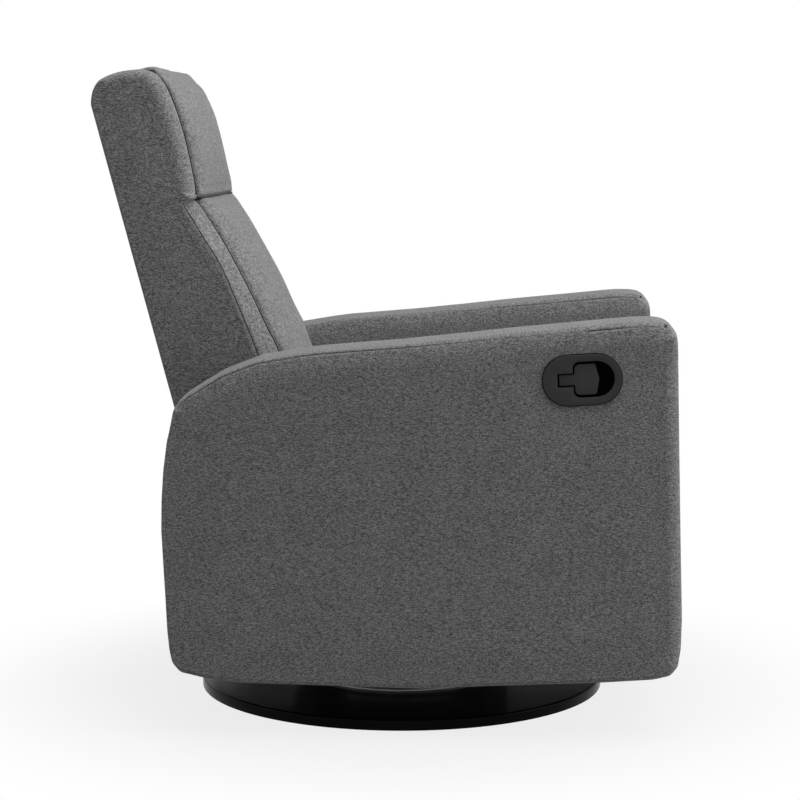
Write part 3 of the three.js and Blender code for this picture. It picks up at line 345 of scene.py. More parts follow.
def closed_outline(points, count, blur):
    """A closed outline at equal steps, its corners eased by a blur of that length."""
    looped = np.vstack([points, points[:1]])
    length = distances_along(looped)
    even = at_distances(np.linspace(0, length[-1], count, endpoint=False), length, looped)
    step = length[-1] / count
    reach = int(3 * blur / step) + 1
    offsets = np.arange(-reach, reach + 1)
    weights = bell(offsets * step, blur * math.sqrt(2))
    weights /= weights.sum()
    return sum(weight * np.roll(even, shift, axis=0) for weight, shift in zip(weights, offsets)), step


def inward_normals(outline, reach=1):
    """Directions into a closed outline, turning slowly at corners where the reach is long."""
    along = unit(sum(np.roll(outline, -k, axis=0) - np.roll(outline, k, axis=0)
                     for k in range(1, reach + 1)))
    return np.stack([-along[:, 1], along[:, 0]], axis=-1)


def ripple(distance, lengths, seed):
    """An uneven wave of about unit height along a distance."""
    phases = np.random.default_rng(seed).uniform(0, 2 * math.pi, len(lengths))
    return sum(np.sin(2 * math.pi * distance / length + phase)
               for length, phase in zip(lengths, phases)) / math.sqrt(len(lengths))


def unevenness(points, length, seed):
    """A soft field in space with waves of about that length, for cloth that is never quite flat."""
    waves = 7
    random = np.random.default_rng(seed)
    total = 0
    for _ in range(waves):
        direction = random.normal(size=3)
        direction /= np.linalg.norm(direction)
        stretch = random.uniform(0.7, 1.6)
        total = total + np.sin(points @ direction * 2 * math.pi / (length * stretch)
                               + random.uniform(0, 6.3))
    return total / math.sqrt(waves)


def puckers(run, lengths, seed, strength, from_seam, reach, clear):
    """Small waves along a seam, which start a little beside it and die away."""
    return (ripple(run, lengths, seed) * pucker_height * strength * bell(from_seam, reach)
            * (1 - bell(from_seam, clear)))


# Objects
def node_box(node):
    """The lowest and the highest corner of a node's box, in millimetres."""
    return [np.array(corner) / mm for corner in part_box(node)]


def new_mesh(name, vertices, faces):
    mesh = bpy.data.meshes.new(name)
    mesh.from_pydata((np.asarray(vertices) * mm).tolist(), [], faces)
    return mesh


def linked(name, data):
    made = bpy.data.objects.new(name, data)
    bpy.context.scene.collection.objects.link(made)
    return made


def new_object(name, vertices, faces, body, material):
    """A smooth-shaded closed piece from points in millimetres, riding on a body."""
    mesh = new_mesh(name, vertices, outward(vertices, faces))
    mesh.validate()
    mesh.shade_smooth()
    mesh.materials.append(material)
    made = linked(name, mesh)
    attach(made, body)
    return made


def outward(vertices, faces):
    """The faces, turned round if the closed mesh is inside out."""
    corners = np.array([(face[0], *pair) for face in faces for pair in zip(face[1:], face[2:])])
    a, b, c = np.asarray(vertices)[corners].transpose(1, 0, 2)
    return faces if np.einsum("ij,ij->", a, np.cross(b, c)) > 0 else [face[::-1] for face in faces]


# Skins through rings of equal counts
def ring_faces(count, total, ends="capped"):
    """The faces between rings whose ends are capped, joined to each other or left open."""
    grid = np.arange(total).reshape(-1, count)
    if ends == "joined":
        grid = np.vstack([grid, grid[:1]])
    ahead = np.roll(grid, -1, axis=1)
    faces = np.stack([grid[:-1], ahead[:-1], ahead[1:], grid[1:]], axis=-1).reshape(-1, 4).tolist()
    return faces + [grid[0][::-1].tolist(), grid[-1].tolist()] if ends == "capped" else faces


def rings_between(rings, ends="capped"):
    """A skin through rings in X and Z, each with its place along Y."""
    points = np.vstack([in_space(ring, level) for ring, level in rings])
    return points, ring_faces(len(rings[0][0]), len(points), ends)


# Slabs: a closed outline, given a thickness, with a panel on each side and a band between
def slab(outline, step, spine, half, section, seed):
    """Points of a slab about its middle plane, in the outline's two axes and across, and its faces.
    The section's values may change along the outline: the edge's radius, its reach across and its
    fullness, the band's crown and inset, how far the panels drop towards their seams and over what width,
    the seams' strength, the groove's depth. The rings lie at shares of the way from the edge to the
    spine, at distances in from the panel's seam, and at shares of the edge's arc and of half the band."""
    fill = [0.86, 0.6, 0.42, 0.3, 0.21, 0.14, 0.09, 0.06, 0.04, 0.02]
    panel = [9, 7, 5.2, 3.8, 2.8, 2.1, 1.5, 0.9, 0.3]
    arc = [0, 0.04, 0.09, 0.15, 0.25, 0.38, 0.52, 0.66, 0.78, 0.86, 0.91, 0.95, 0.975, 1]
    band = [0.01, 0.03, 0.07, 0.13, 0.2, 0.3, 0.4, 0.5, 0.6, 0.7, 0.8, 0.9, 1]
    crown_width = 30
    count = len(outline)
    flat = np.zeros(count)
    radius, across_radius, fullness, band_crown, band_inset, drop, groove = (
        section[key] + flat
        for key in ("radius", "across_radius", "fullness", "band_crown", "band_inset", "drop", "groove"))
    drop_width = section["drop_width"]
    tilt = np.arctan(2 * drop / drop_width)
    arc_length = (radius + across_radius) / 2 * (math.pi / 2 - tilt)
    band_half = half - drop - across_radius * np.cos(tilt)
    seam_in = radius * (1 - np.sin(tilt))
    inward = inward_normals(outline, round(corner_reach / step))
    run = np.arange(count) * step
    start, stop = (np.array(point, float) for point in spine)
    axis = stop - start
    share = np.clip((outline - start) @ axis / (axis @ axis), 0, 1)
    core = start + share[:, None] * axis
    pucker = ripple(run, [17, 26, 41, 63], seed) * pucker_height

    def relief(along_section, strength):
        away = np.abs(along_section + seam_beside_arc)
        furrow = (-seam_depth * bell(away, seam_width)
                  + seam_swell * bell(away - 3.5 * seam_width, 2.4 * seam_width))
        return strength * (furrow + pucker * bell(away, pucker_reach) * (1 - bell(away, 2 * seam_width)))

    def fallen(distance):
        return drop * np.clip(1 - distance / drop_width, 0, 1) ** 2

    def half_rings(side, crown, strength):
        rings = []
        anchor = outline + inward * (seam_in + panel[0])[:, None]
        for part in fill:
            place = anchor + (core - anchor) * part
            from_edge = np.linalg.norm(place - anchor, axis=1) + panel[0]
            soft = 0.4 * unevenness(np.column_stack([place, side * half + flat]), 150, seed + 20)
            height = crown * (1 - bell(from_edge, crown_width))
            height = height + soft * bell(from_edge, 2 * crown_width) * (part < fill[0])
            height = crown + flat if part == fill[0] else height - fallen(from_edge)
            rings.append(np.column_stack([place, side * (half + height)]))
        for distance in panel:
            height = relief(-distance + flat, strength) + crown * (1 - bell(distance, crown_width))
            height = height - fallen(distance)
            place = outline + inward * (seam_in + distance)[:, None]
            rings.append(np.column_stack([place, side * (half + height)]))
        for part in arc:
            angle = tilt + part * (math.pi / 2 - tilt)
            height = (relief(part * arc_length, strength)
                      - groove * bell((1 - part) * arc_length, deep_seam_width))
            sine, cosine = (np.maximum(wave(angle), 0) ** (1 / fullness) for wave in (np.sin, np.cos))
            depth = radius * (1 - sine) + (band_inset - height) * np.sin(angle)
            across = half - drop - across_radius * (np.cos(tilt) - cosine) + height * np.cos(angle)
            rings.append(np.column_stack([outline + inward * depth[:, None], side * across]))
        for part in band:
            height = relief(arc_length + part * band_half, strength) - band_inset
            height = height + band_crown * (1 - (1 - part) ** 2)
            height = height - groove * bell(part * band_half, 4 * deep_seam_width)
            rings.append(np.column_stack([outline - inward * height[:, None],
                                          side * band_half * (1 - part)]))
        return rings

    near = half_rings(1, section["crowns"][0], section["seams"][0])
    far = half_rings(-1, section["crowns"][1], section["seams"][1])
    points = np.vstack(near + far[-2::-1])
    return points, ring_faces(count, len(points))


def cut_hole(target, outline, near, far):
    """Cuts a prism with an outline in X and Z, between two places along Y, out of a piece."""
    points, faces = rings_between([(outline, near), (outline, far)])
    cutter = linked("hole", new_mesh("hole", points, outward(points, faces)))
    modifier = target.modifiers.new("hole", "BOOLEAN")
    modifier.operation = "DIFFERENCE"
    modifier.object = cutter
    modifier.solver = "EXACT"
    graph = bpy.context.evaluated_depsgraph_get()
    final = bpy.data.meshes.new_from_object(target.evaluated_get(graph))
    target.modifiers.clear()
    target.data = final
    bpy.data.objects.remove(cutter)


# Pads: a gridded box whose points a formula moves, swollen by a short cloth simulation
def stations(length, step):
    """Places from -1 to 1 over a length, closer together near both ends."""
    near = [distance for distance in edge_distances if distance < length / 3]
    count = max(2, round((length - 2 * near[-1]) / step))
    middle = np.linspace(near[-1], length - near[-1], count + 1)[1:-1]
    far = [length - distance for distance in reversed(near)]
    return np.array([*near, *middle, *far]) / length * 2 - 1


def box_grid(axes):
    """The surface points of a gridded box, its quads, and the lattice places that they hold."""
    sizes = [len(axis) for axis in axes]
    places = np.indices(sizes)
    surface = np.zeros(sizes, bool)
    for k, size in enumerate(sizes):
        surface |= (places[k] == 0) | (places[k] == size - 1)
    number = np.full(sizes, -1)
    number[surface] = np.arange(surface.sum())
    points = np.stack([axes[k][places[k][surface]] for k in range(3)], axis=-1)
    quads = []
    for k in range(3):
        for end in (0, -1):
            face = number.take(end, axis=k)
            corners = np.stack([face[:-1, :-1], face[1:, :-1], face[1:, 1:], face[:-1, 1:]], axis=-1)
            corners = corners.reshape(-1, 4)
            quads += (corners if (end == -1) != (k == 1) else corners[:, ::-1]).tolist()
    return points, quads, surface


def swelling(axes, place, held, cap):
    """How far each lattice point of a pad moves when its cloth is blown up between its seams."""
    points, quads, surface = box_grid(axes)
    field = np.zeros([len(axis) for axis in axes] + [3])
    rest = place(points)
    bag = linked("swelling", new_mesh("swelling", rest, outward(rest, quads)))
    group = bag.vertex_groups.new(name="held")
    for index, weight in enumerate(held(points)):
        group.add([index], float(weight), "REPLACE")
    settings = bag.modifiers.new("cloth", "CLOTH").settings
    for key, value in cloth_values.items():
        setattr(settings, key, value)
    settings.uniform_pressure_force = pad_pressure
    settings.effector_weights.gravity = 0
    for number in range(1, cloth_frames + 1):
        bpy.context.scene.frame_set(number)
    evaluated = bag.evaluated_get(bpy.context.evaluated_depsgraph_get())
    moved = np.array([vertex.co for vertex in evaluated.data.vertices]) / mm - rest
    bpy.context.scene.frame_set(1)
    bpy.data.objects.remove(bag)
    field[surface] = moved * min(1, cap / float(np.linalg.norm(moved, axis=1).max()))
    return field


def read_field(field, axes, points):
    """Reads a field, known on an even lattice's surface, smoothly at other points of that surface."""
    total = 0
    taps = []
    for k, axis in enumerate(axes):
        cell = np.clip(np.searchsorted(axis, points[:, k], side="right") - 1, 0, len(axis) - 2)
        t = (points[:, k] - axis[cell]) / (axis[cell + 1] - axis[cell])
        weights = [(-t ** 3 + 2 * t ** 2 - t) / 2, (3 * t ** 3 - 5 * t ** 2 + 2) / 2,
                   (-3 * t ** 3 + 4 * t ** 2 + t) / 2, (t ** 3 - t ** 2) / 2]
        taps.append([(np.clip(cell + shift, 0, len(axis) - 1), weight)
                     for shift, weight in zip((-1, 0, 1, 2), weights)])
    for i, weight_i in taps[0]:
        for j, weight_j in taps[1]:
            for k, weight_k in taps[2]:
                total = total + (weight_i * weight_j * weight_k)[:, None] * field[i, j, k]
    return total


def pad(name, sizes, place, held, body, node, detail, cap, fine=5):
    """A stuffed pad that stands for a node: its lattice swells, then its fine surface follows."""
    lattice = [np.linspace(-1, 1, max(4, round(size / pad_lattice))) for size in sizes]
    field = swelling(lattice, place, held, cap)
    points, quads, _ = box_grid([stations(size, fine) for size in sizes])
    placed = place(points) + read_field(field, lattice, points)
    made = new_object(name, placed + detail(points, placed), quads, body, fabric)
    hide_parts(node)


# Materials
def node_material(name, values):
    """A material with nodes, whose shader takes the given values, and its place in space."""
    material = bpy.data.materials.new(name)
    material.use_nodes = True
    tree = material.node_tree
    shader = tree.nodes["Principled BSDF"]
    for key, value in values.items():
        shader.inputs[key].default_value = value
    return material, tree, shader, tree.nodes.new("ShaderNodeTexCoord").outputs["Object"]


def add_node(tree, kind, **inputs):
    made = tree.nodes.new(kind)
    for key, value in inputs.items():
        made.inputs[key].default_value = value
    return made


def math_node(tree, operation, first, second=0.0):
    made = tree.nodes.new("ShaderNodeMath")
    made.operation = operation
    for socket, value in zip(made.inputs, (first, second)):
        if isinstance(value, (int, float)):
            socket.default_value = value
        else:
            tree.links.new(value, socket)
    return made.outputs[0]


def weighted_sum(tree, first, *others):
    """The sum of values, each given with its weight."""
    total = math_node(tree, "MULTIPLY", *first)
    for part in others:
        total = math_node(tree, "ADD", total, math_node(tree, "MULTIPLY", *part))
    return total


def stretched_noise(tree, coordinates, lengths, detail, roughness=0.55):
    """Noise whose grains have a length along each axis, in millimetres."""
    mapping = add_node(tree, "ShaderNodeMapping")
    mapping.inputs["Scale"].default_value = [1 / (length * mm) for length in lengths]
    tree.links.new(coordinates, mapping.inputs["Vector"])
    noise = add_node(tree, "ShaderNodeTexNoise", Scale=1.0, Detail=detail, Roughness=roughness)
    tree.links.new(mapping.outputs[0], noise.inputs["Vector"])
    return noise.outputs["Fac"]


def blended(tree, share, first, second):
    mix = tree.nodes.new("ShaderNodeMix")
    mix.data_type = "FLOAT"
    tree.links.new(share, mix.inputs[0])
    tree.links.new(first, mix.inputs[2])
    tree.links.new(second, mix.inputs[3])
    return mix.outputs[0]


def lighter(colour, factor):
    return tuple(min(1, part * factor) for part in colour)


def surface(tree, shader, value, stops, height, strength, distance):
    """Colours a shader between two stops of a value, and gives it bumps of a height."""
    ramp = tree.nodes.new("ShaderNodeValToRGB")
    for element, (place, colour) in zip(ramp.color_ramp.elements, stops):
        element.position = place
        element.color = (*colour, 1)
    tree.links.new(value, ramp.inputs[0])
    tree.links.new(ramp.outputs[0], shader.inputs["Base Color"])
    bump = add_node(tree, "ShaderNodeBump", Strength=strength, Distance=distance * mm)
    tree.links.new(height, bump.inputs["Height"])
    tree.links.new(bump.outputs[0], shader.inputs["Normal"])


def smooth_share(tree, value, limits, start=0.0):
    """A share that goes from its start to 1 while a value passes between two limits."""
    made = tree.nodes.new("ShaderNodeMapRange")
    made.interpolation_type = "SMOOTHSTEP"
    for key, number in zip(("From Min", "From Max", "To Min"), (*limits, start)):
        made.inputs[key].default_value = number
    tree.links.new(value, made.inputs["Value"])
    return made.outputs[0]


def mixed_shaders(tree, share, first, second, output):
    """Sends a mix of two shaders to the surface of an output node."""
    mix = tree.nodes.new("ShaderNodeMixShader")
    for source, socket in zip((share, first, second), mix.inputs):
        tree.links.new(source, socket)
    tree.links.new(mix.outputs[0], tree.nodes[output].inputs["Surface"])


def seen_directly(tree):
    """Whether a ray comes from the camera or a mirroring surface, and the light path's node."""
    rays = tree.nodes.new("ShaderNodeLightPath")
    return math_node(tree, "MAXIMUM", rays.outputs["Is Camera Ray"], rays.outputs["Is Glossy Ray"]), rays


def woven(tree, place, facing, side, *others):
    """Noise whose grains have one set of lengths on the sides, and others where a share says so."""
    value = stretched_noise(tree, place, side, 1.0)
    for share, lengths in zip(facing, others):
        value = blended(tree, share, value, stretched_noise(tree, place, lengths, 1.0))
    return value


def fabric_material():
    """A heathered weave: slubby yarns that run level round the sides and across the tops."""
    values = {"Roughness": 0.92, "Sheen Weight": 0.2, "Sheen Roughness": 0.6, "Specular IOR Level": 0.2}
    material, tree, shader, place = node_material("charcoal_weave", values)
    split = tree.nodes.new("ShaderNodeSeparateXYZ")
    tree.links.new(place.node.outputs["Normal"], split.inputs[0])
    facing = [smooth_share(tree, math_node(tree, "ABSOLUTE", split.outputs[axis]), limits)
              for axis, limits in (("Z", (0.62, 0.82)), ("X", (0.6, 0.85)))]
    slub = woven(tree, place, facing, (7, 7, 1.9), (2, 7, 7), (6, 13, 4.2))
    yarn = woven(tree, place, facing, (3.6, 3.6, 1.4), (1.5, 3.6, 3.6), (3, 8, 2.7))
    grain = stretched_noise(tree, place, (2, 2, 1.4), 1.0, 0.7)
    patch = stretched_noise(tree, place, (60, 60, 40), 2.0)
    value = weighted_sum(tree, (slub, 0.2), (yarn, 0.34), (grain, 0.42), (patch, 0.04))
    surface(tree, shader, value, [(0.41, fabric_dark), (0.605, fabric_light)], value, 0.9, 1.1)
    return material


def plain_material(name, colour, lightening, roughness, grain, lift=0.05, values=None):
    """A plain finish with a little cloudiness in its colour and gloss, and a fine surface."""
    material, tree, shader, place = node_material(name, {"Roughness": roughness, **(values or {})})
    cloud = stretched_noise(tree, place, (70, 70, 70), 4.0)
    fine = stretched_noise(tree, place, (grain, grain, grain), 3.0, 0.7)
    gloss = math_node(tree, "MULTIPLY_ADD", cloud, 0.12)
    gloss.node.inputs[2].default_value = roughness - 0.06
    tree.links.new(gloss, shader.inputs["Roughness"])
    surface(tree, shader, cloud, [(0.3, colour), (0.7, lighter(colour, lightening))], fine, 0.25, lift)
    return material


def wood_material():
    material, tree, shader, place = node_material("plywood", {"Roughness": 0.7})
    rings = stretched_noise(tree, place, (160, 9, 14), 4.0)
    fibre = stretched_noise(tree, place, (30, 1.2, 1.2), 3.0, 0.7)
    value = weighted_sum(tree, (rings, 0.7), (fibre, 0.3))
    surface(tree, shader, value, [(0.3, plywood_dark), (0.68, plywood_light)], value, 0.3, 0.3)
    return material


def zinc_material():
    material, tree, shader, place = node_material("zinc", {"Roughness": 0.4, "Metallic": 0.9})
    brushed = stretched_noise(tree, place, (25, 25, 0.8), 2.0)
    cloud = stretched_noise(tree, place, (12, 12, 12), 4.0)
    value = weighted_sum(tree, (brushed, 0.5), (cloud, 0.5))
    stops = [(0.3, lighter(zinc_grey, 0.75)), (0.7, lighter(zinc_grey, 1.2))]
    surface(tree, shader, value, stops, brushed, 0.2, 0.05)
    return material


fabric = fabric_material()
matt = {"Specular IOR Level": 0.2}
# The paddle's plastic, painted lighter than the lip's to make up for its shade
paddle_plastic_painted_light = plain_material("paddle_plastic_painted_light", paddle_lightened_grey, 1.1, 0.55, 0.5, values=matt)
# Near-black plastic without gloss for the lever's cup and the ring round its lip: painted shade for the
# recess and the gap
cup_and_gap_shade = plain_material("painted_shade_plastic", recess_shade_black, 1.3, 0.7, 0.5,
                           values={"Specular IOR Level": 0.02})
# Near-black for the tubes in the seams and the arm dimples: painted shadow
seam_shadow_material = plain_material("painted_seam_shadow", seam_shadow_black, 1.3, 0.9, 0.5)
finishes = {
    "fabric": fabric,
    "disc": plain_material("gloss_black", disc_black, 1.4, 0.22, 0.6, lift=0.01,
                           values={"Specular IOR Level": 0.3, "IOR": 1.15}),
    "plastic": plain_material("moulded_plastic", plastic_grey, 1.1, 0.55, 0.5, values=matt),
    "rubber": plain_material("rubber", rubber_black, 1.6, 0.85, 0.8),
    "black_steel": plain_material("satin_black_steel", frame_black, 1.5, 0.42, 0.5),
    "steel": zinc_material(),
    "wood": wood_material(),
}


# The frame's own nodes: each gets its finish, with its edges broken
def finish_nodes():
    slots = {part["node"]: part["material_slot"] for part in frame["record"]["subparts"]}
    for name, piece in nodes.items():
        piece.data.materials.clear()
        piece.data.materials.append(finishes[slots[name]])
        piece.data.shade_smooth()
        piece.modifiers.new("weld", "WELD").merge_threshold = weld_reach * mm
        bevel = piece.modifiers.new("edges", "BEVEL")
        bevel.width = (wood_edge if slots[name] == "wood" else other_edge) * mm
        bevel.segments = 2
        bevel.limit_method = "ANGLE"
        bevel.angle_limit = edge_sharp
        piece.modifiers.new("normals", "WEIGHTED_NORMAL").keep_sharp = True


# Arms
def arm(name, node, side):
    low, high = node_box(node)
    outline, step = closed_outline(np.array(arm_side, float), arm_outline_points, arm_outline_blur)
    along, upward = outline.T
    front = smoothstep(along, *(high[0] - np.array(arm_front_zone)))
    rear = 1 - smoothstep(along, *(low[0] + np.array(arm_rear_zone)))
    bottom = 1 - smoothstep(upward, *(low[2] + np.array(arm_bottom_zone)))
    below_top = 1 - smoothstep(upward, *(high[2] - np.array(arm_top_zone)))
    top = smoothstep(-inward_normals(outline)[:, 1], *arm_top_slope)
    forward = smoothstep(along, *arm_top_round_run)
    top_round = arm_top_round_rear + (arm_top_round_front - arm_top_round_rear) * forward
    radius = arm_round + (top_round - arm_round) * top
    radius = radius + (arm_front_round - radius) * front * below_top * (1 - arm_foot_share * bottom)
    radius = radius + (arm_rear_round - radius) * rear * (1 - front) * (1 - top)
    seams = [top * np.interp(along, *zip(*line)) + arm_blind_seam * (1 - top)
             for line in (arm_outer_seam, arm_inner_seam)]
    section = {
        "radius": radius, "across_radius": radius, "fullness": 1,
        "band_crown": arm_band_crown * (1 - bottom), "band_inset": arm_band_crown * top,
        "drop": arm_top_drop * top, "drop_width": arm_top_drop_width, "groove": 0,
        "crowns": (arm_outer_crown, arm_inner_crown), "seams": seams,
    }
    spine = zip((low[0] + arm_spine_inset, high[0] - arm_spine_inset), arm_spine_heights)
    half = (high[1] - low[1]) / 2
    points, faces = slab(outline, step, spine, half, section, 2 + side)
    middle = (low[1] + high[1]) / 2
    placed = in_space(points, middle + side * points[:, 2])
    for place, outwards, label in ((dimple_place, side, "outer"), (inner_dimple_place, -side, "inner")):
        dimple = np.hypot(placed[:, 0] - place[0], placed[:, 2] - place[1])
        on_side = (placed[:, 1] - middle) * outwards > half - dimple_side_reach
        nearest = np.argmin(np.where(on_side, dimple, np.inf))
        level = placed[nearest, 1] - outwards * dimple_shadow_depth
        placed[:, 1] -= outwards * dimple_depth * bell(dimple, dimple_radius) * on_side
        # A near-black tube in the dimple: painted shadow where the fabric is pulled in
        dimple_shadow = [(place[0] + reach, level, place[1] + reach / 2) for reach in np.linspace(*dimple_shadow_run, 6)]
        seam_shadow_tube(f"{name}_{label}_tuck", dimple_shadow, (0, 0), dimple_shadow_radius, "chair")
    if side < 0:
        centre = lever_centre()
        around = np.hypot((placed[:, 0] - centre[0]) / pressed_stretch, placed[:, 2] - centre[1])
        pressed = 1 - smoothstep(around, *pressed_zone)
        placed[:, 1] += np.maximum(low[1] - placed[:, 1], 0) * pressed
    made = new_object(name, placed, faces, "chair", fabric)
    if side < 0:
        cut_hole(made, lip_outline(-lever_hole_margin), *(low[1] + np.array(hole_reach)))
        made.data.set_sharp_from_angle(angle=lever_sharp)
    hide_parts(node)


# Lever: a lip round a shaped opening, a cup behind it coloured near-black as painted shade, a paddle in the
# opening
def lever_centre():
    low, high = node_box("lever_bezel")
    return ((low[0] + high[0]) / 2, (low[2] + high[2]) / 2)


def tilted(points, drop=0.0):
    """Points about the lever's centre, along and across its tilt, as places in X and Z."""
    along, across = np.asarray(points, float).T
    across = across - drop
    middle = lever_centre()
    return np.column_stack([middle[0] + along * math.cos(lever_tilt) - across * math.sin(lever_tilt),
                            middle[1] + along * math.sin(lever_tilt) + across * math.cos(lever_tilt)])


def arc_points(centre, radius, start, stop, count):
    angles = np.radians(np.linspace(start, stop, count))
    return [(centre[0] + radius * math.cos(t), centre[1] + radius * math.sin(t)) for t in angles]


def lip_outline(margin=0.0):
    low, high = node_box("lever_bezel")
    radius = (high[2] - low[2]) / 2 * lip_height_share + margin
    reach = (high[0] - low[0]) / 2 - lip_end_inset + margin - radius
    return tilted(arc_points((reach, 0), radius, -90, 90, 64)
                  + arc_points((-reach, 0), radius, 90, 270, 64))


def stem(front, rear, half, chamfer=1):
    """The outline of a stem that runs rearwards from a shoulder, with broken corners."""
    return [(front, half), (rear + chamfer, half), (rear, half - chamfer),
            (rear, chamfer - half), (rear + chamfer, -half), (front, -half)]


def opening_outline():
    round_end = arc_points((opening_end, 0), opening_radius, -88, 88, 72)
    inner = (opening_rear + opening_corner, opening_radius - opening_corner)
    upper = arc_points(inner, opening_corner, 92, 180, 12)
    lower = arc_points((inner[0], -inner[1]), opening_corner, 180, 268, 12)
    slot = stem(opening_rear, stem_slot_rear, stem_slot_half)
    return tilted(round_end + upper + slot + lower, lever_opening_drop)


def paddle_outline():
    inner = (paddle_shoulder + paddle_corner, paddle_half - paddle_corner)
    nose = (paddle_front - paddle_front_corner, paddle_half - paddle_front_corner)
    points = [(paddle_tip, 0)] + arc_points(nose, paddle_front_corner, 15, 90, 6)
    points += arc_points(inner, paddle_corner, 90, 180, 12)
    points += stem(paddle_shoulder, paddle_rear, paddle_stem_half)
    points += arc_points((inner[0], -inner[1]), paddle_corner, 180, 270, 12)
    points += arc_points((nose[0], -nose[1]), paddle_front_corner, 270, 345, 6)
    return tilted(points, lever_opening_drop)


def dense(outline, step=1.2):
    """The outline with points added along its long edges, its corners kept."""
    points = []
    for start, stop in zip(outline, np.roll(outline, -1, axis=0)):
        parts = max(1, int(np.linalg.norm(stop - start) / step))
        points += [start + (stop - start) * k / parts for k in range(parts)]
    return np.array(points)


def eased(outline, rim):
    """The outline's rounded rim: an inset ring for each step over the edge, and how far it sinks."""
    inward = inward_normals(outline)
    return [(outline + inward * rim * (1 - math.cos(t)), rim * (1 - math.sin(t)))
            for t in np.linspace(0, math.pi / 2, 5)]


def lever_piece(name, rings, ends="joined", material=cup_and_gap_shade, body="chair", node="lever_bezel"):
    points, faces = rings_between(rings, ends)
    made = new_object(name, points, faces, body, material)
    made.data.set_sharp_from_angle(angle=lever_sharp)
    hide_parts(node)


def lever():
    front = node_box("lever_bezel")[0][1]
    middle = tilted([(opening_end - opening_radius / 2, 0)], lever_opening_drop)[0]
    opening = dense(opening_outline())
    outer = dense(lip_outline())
    angle = np.unwrap(np.arctan2(*(opening - middle).T[::-1]))
    around = np.arctan2(*(outer - middle).T[::-1])
    order = np.argsort(around)
    wrapped = (angle + math.pi) % (2 * math.pi) - math.pi
    outer = np.column_stack([np.interp(wrapped, around[order], outer[order, k], period=2 * math.pi)
                             for k in range(2)])
    widening = -inward_normals(opening)
    wall = opening + widening * cup_wall
    rings = [(outer, front + lip_depth)]
    rings += [(ring, front + drop) for ring, drop in eased(outer, lip_rim)]
    rings += [(opening + widening * lip_rim * wide, front + lip_rim * deep) for wide, deep in
              ((1, 0), (0.3, 0.3), (0, 1), (0, lip_depth / lip_rim))]
    lever_piece("lever_lip", rings, material=finishes["plastic"])
    # The cup and its floor are near-black: painted shade in the recess
    near, far = front + lip_depth - 0.4, front + cup_depth
    rings = [(wall, near), (opening, near), (opening, far), (wall, far + cup_wall)]
    lever_piece("lever_cup", rings)
    rings = [(opening, far), (opening, far + cup_wall)]
    lever_piece("lever_cup_floor", rings, "capped")
    # A near-black ring round the lip at the fabric: painted shadow of the gap
    rings = [(lip_outline(gap_shadow_width * wide), front + lip_proud - gap_shadow_proud * proud)
             for wide, proud in ((-0.7, -1), (-0.7, 1), (0.7, 1), (1, 0.5), (1, -1))]
    lever_piece("lever_gap_shadow", rings)
    low, high = node_box("lever_paddle")
    shape = dense(paddle_outline(), 0.8)
    rings = [(shape, high[1])] + [(ring, low[1] + drop) for ring, drop in eased(shape, paddle_rim)]
    lever_piece("lever_handle", rings, "capped", paddle_plastic_painted_light, "lever", "lever_paddle")


# Back
def back_outline():
    """The back's side: its rear line, its top, the head's seam, the notch and the lumbar edge."""
    rear_foot = (back_corner[0] + (back_corner[1] - back_bottom) * back_slope, back_bottom)
    foot = (rear_foot[0] + back_foot_depth, back_bottom)
    front, head = (curve_through(line, np.linspace(0, 1, 60))
                   for line in (lumbar_edge_line, head_seam_line))
    top_end = head_seam_line[-1]
    top = bezier([top_end, (top_end[0] - 46, back_top + 1), (back_corner[0], back_top - 10),
                  back_corner], 30)
    points = np.vstack([rear_foot, foot, front, head, top[1:], back_corner])
    return closed_outline(points, back_outline_points, back_outline_blur)


def back():
    outline, step = back_outline()
    inward = inward_normals(outline)
    facing = smoothstep(-inward[:, 0], *back_front_slope)
    top = smoothstep(-inward[:, 1], *back_top_slope)
    head = facing * smoothstep(outline[:, 1], notch_height - 5, notch_height + 8)
    below = facing * (1 - smoothstep(outline[:, 1], notch_height - 8, notch_height + 5))
    border = np.maximum(head, back_top_border[0] * top * (outline[:, 1] > back_top_border[1]))
    lumbar_round = (back_lumbar_round - back_round) * below
    section = {
        "radius": back_round + (back_border_depth - back_round) * border + lumbar_round,
        "across_radius": (back_round + (back_half_width - head_half_width - 1 - back_round) * border
                          + lumbar_round),
        "fullness": 1 + back_border_fullness * border, "band_inset": 0, "drop": 0,
        "band_crown": (back_rear_crown * (1 - facing)
                       * smoothstep(outline[:, 1], back_crown_low, back_crown_full)),
        "drop_width": 1, "groove": back_groove * head + back_lumbar_groove * below,
        "crowns": (back_panel_crown, back_panel_crown), "seams": (0, 0),
    }
    points, faces = slab(outline, step, back_spine, back_half_width, section, 3)
    made = new_object("back_upholstery", in_space(points, points[:, 2]), faces, "back", fabric)
    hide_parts("back_cover")


def seam_relief(from_seam):
    return -back_groove * bell(from_seam, deep_seam_width)


def rise(distance, width=rise_width):
    """The share of its height that a stuffed face reaches at a distance from its seam."""
    return np.sqrt(1 - np.clip(1 - distance / width, 0, 1) ** 2)


def frontward(line, share, step=0.01):
    """The direction that a line in X and Z faces, towards the sitter."""
    before, after = (curve_through(line, np.clip(share + shift, 0, 1)) for shift in (-step, step))
    ahead = unit(after - before)
    return np.column_stack([ahead[:, 1], -ahead[:, 0]])


def on_open_face(points):
    a, b, c = points.T
    return np.where((a > 0.99) & (np.abs(b) < 0.99) & (np.abs(c) < 0.99), 0.0, 1.0)


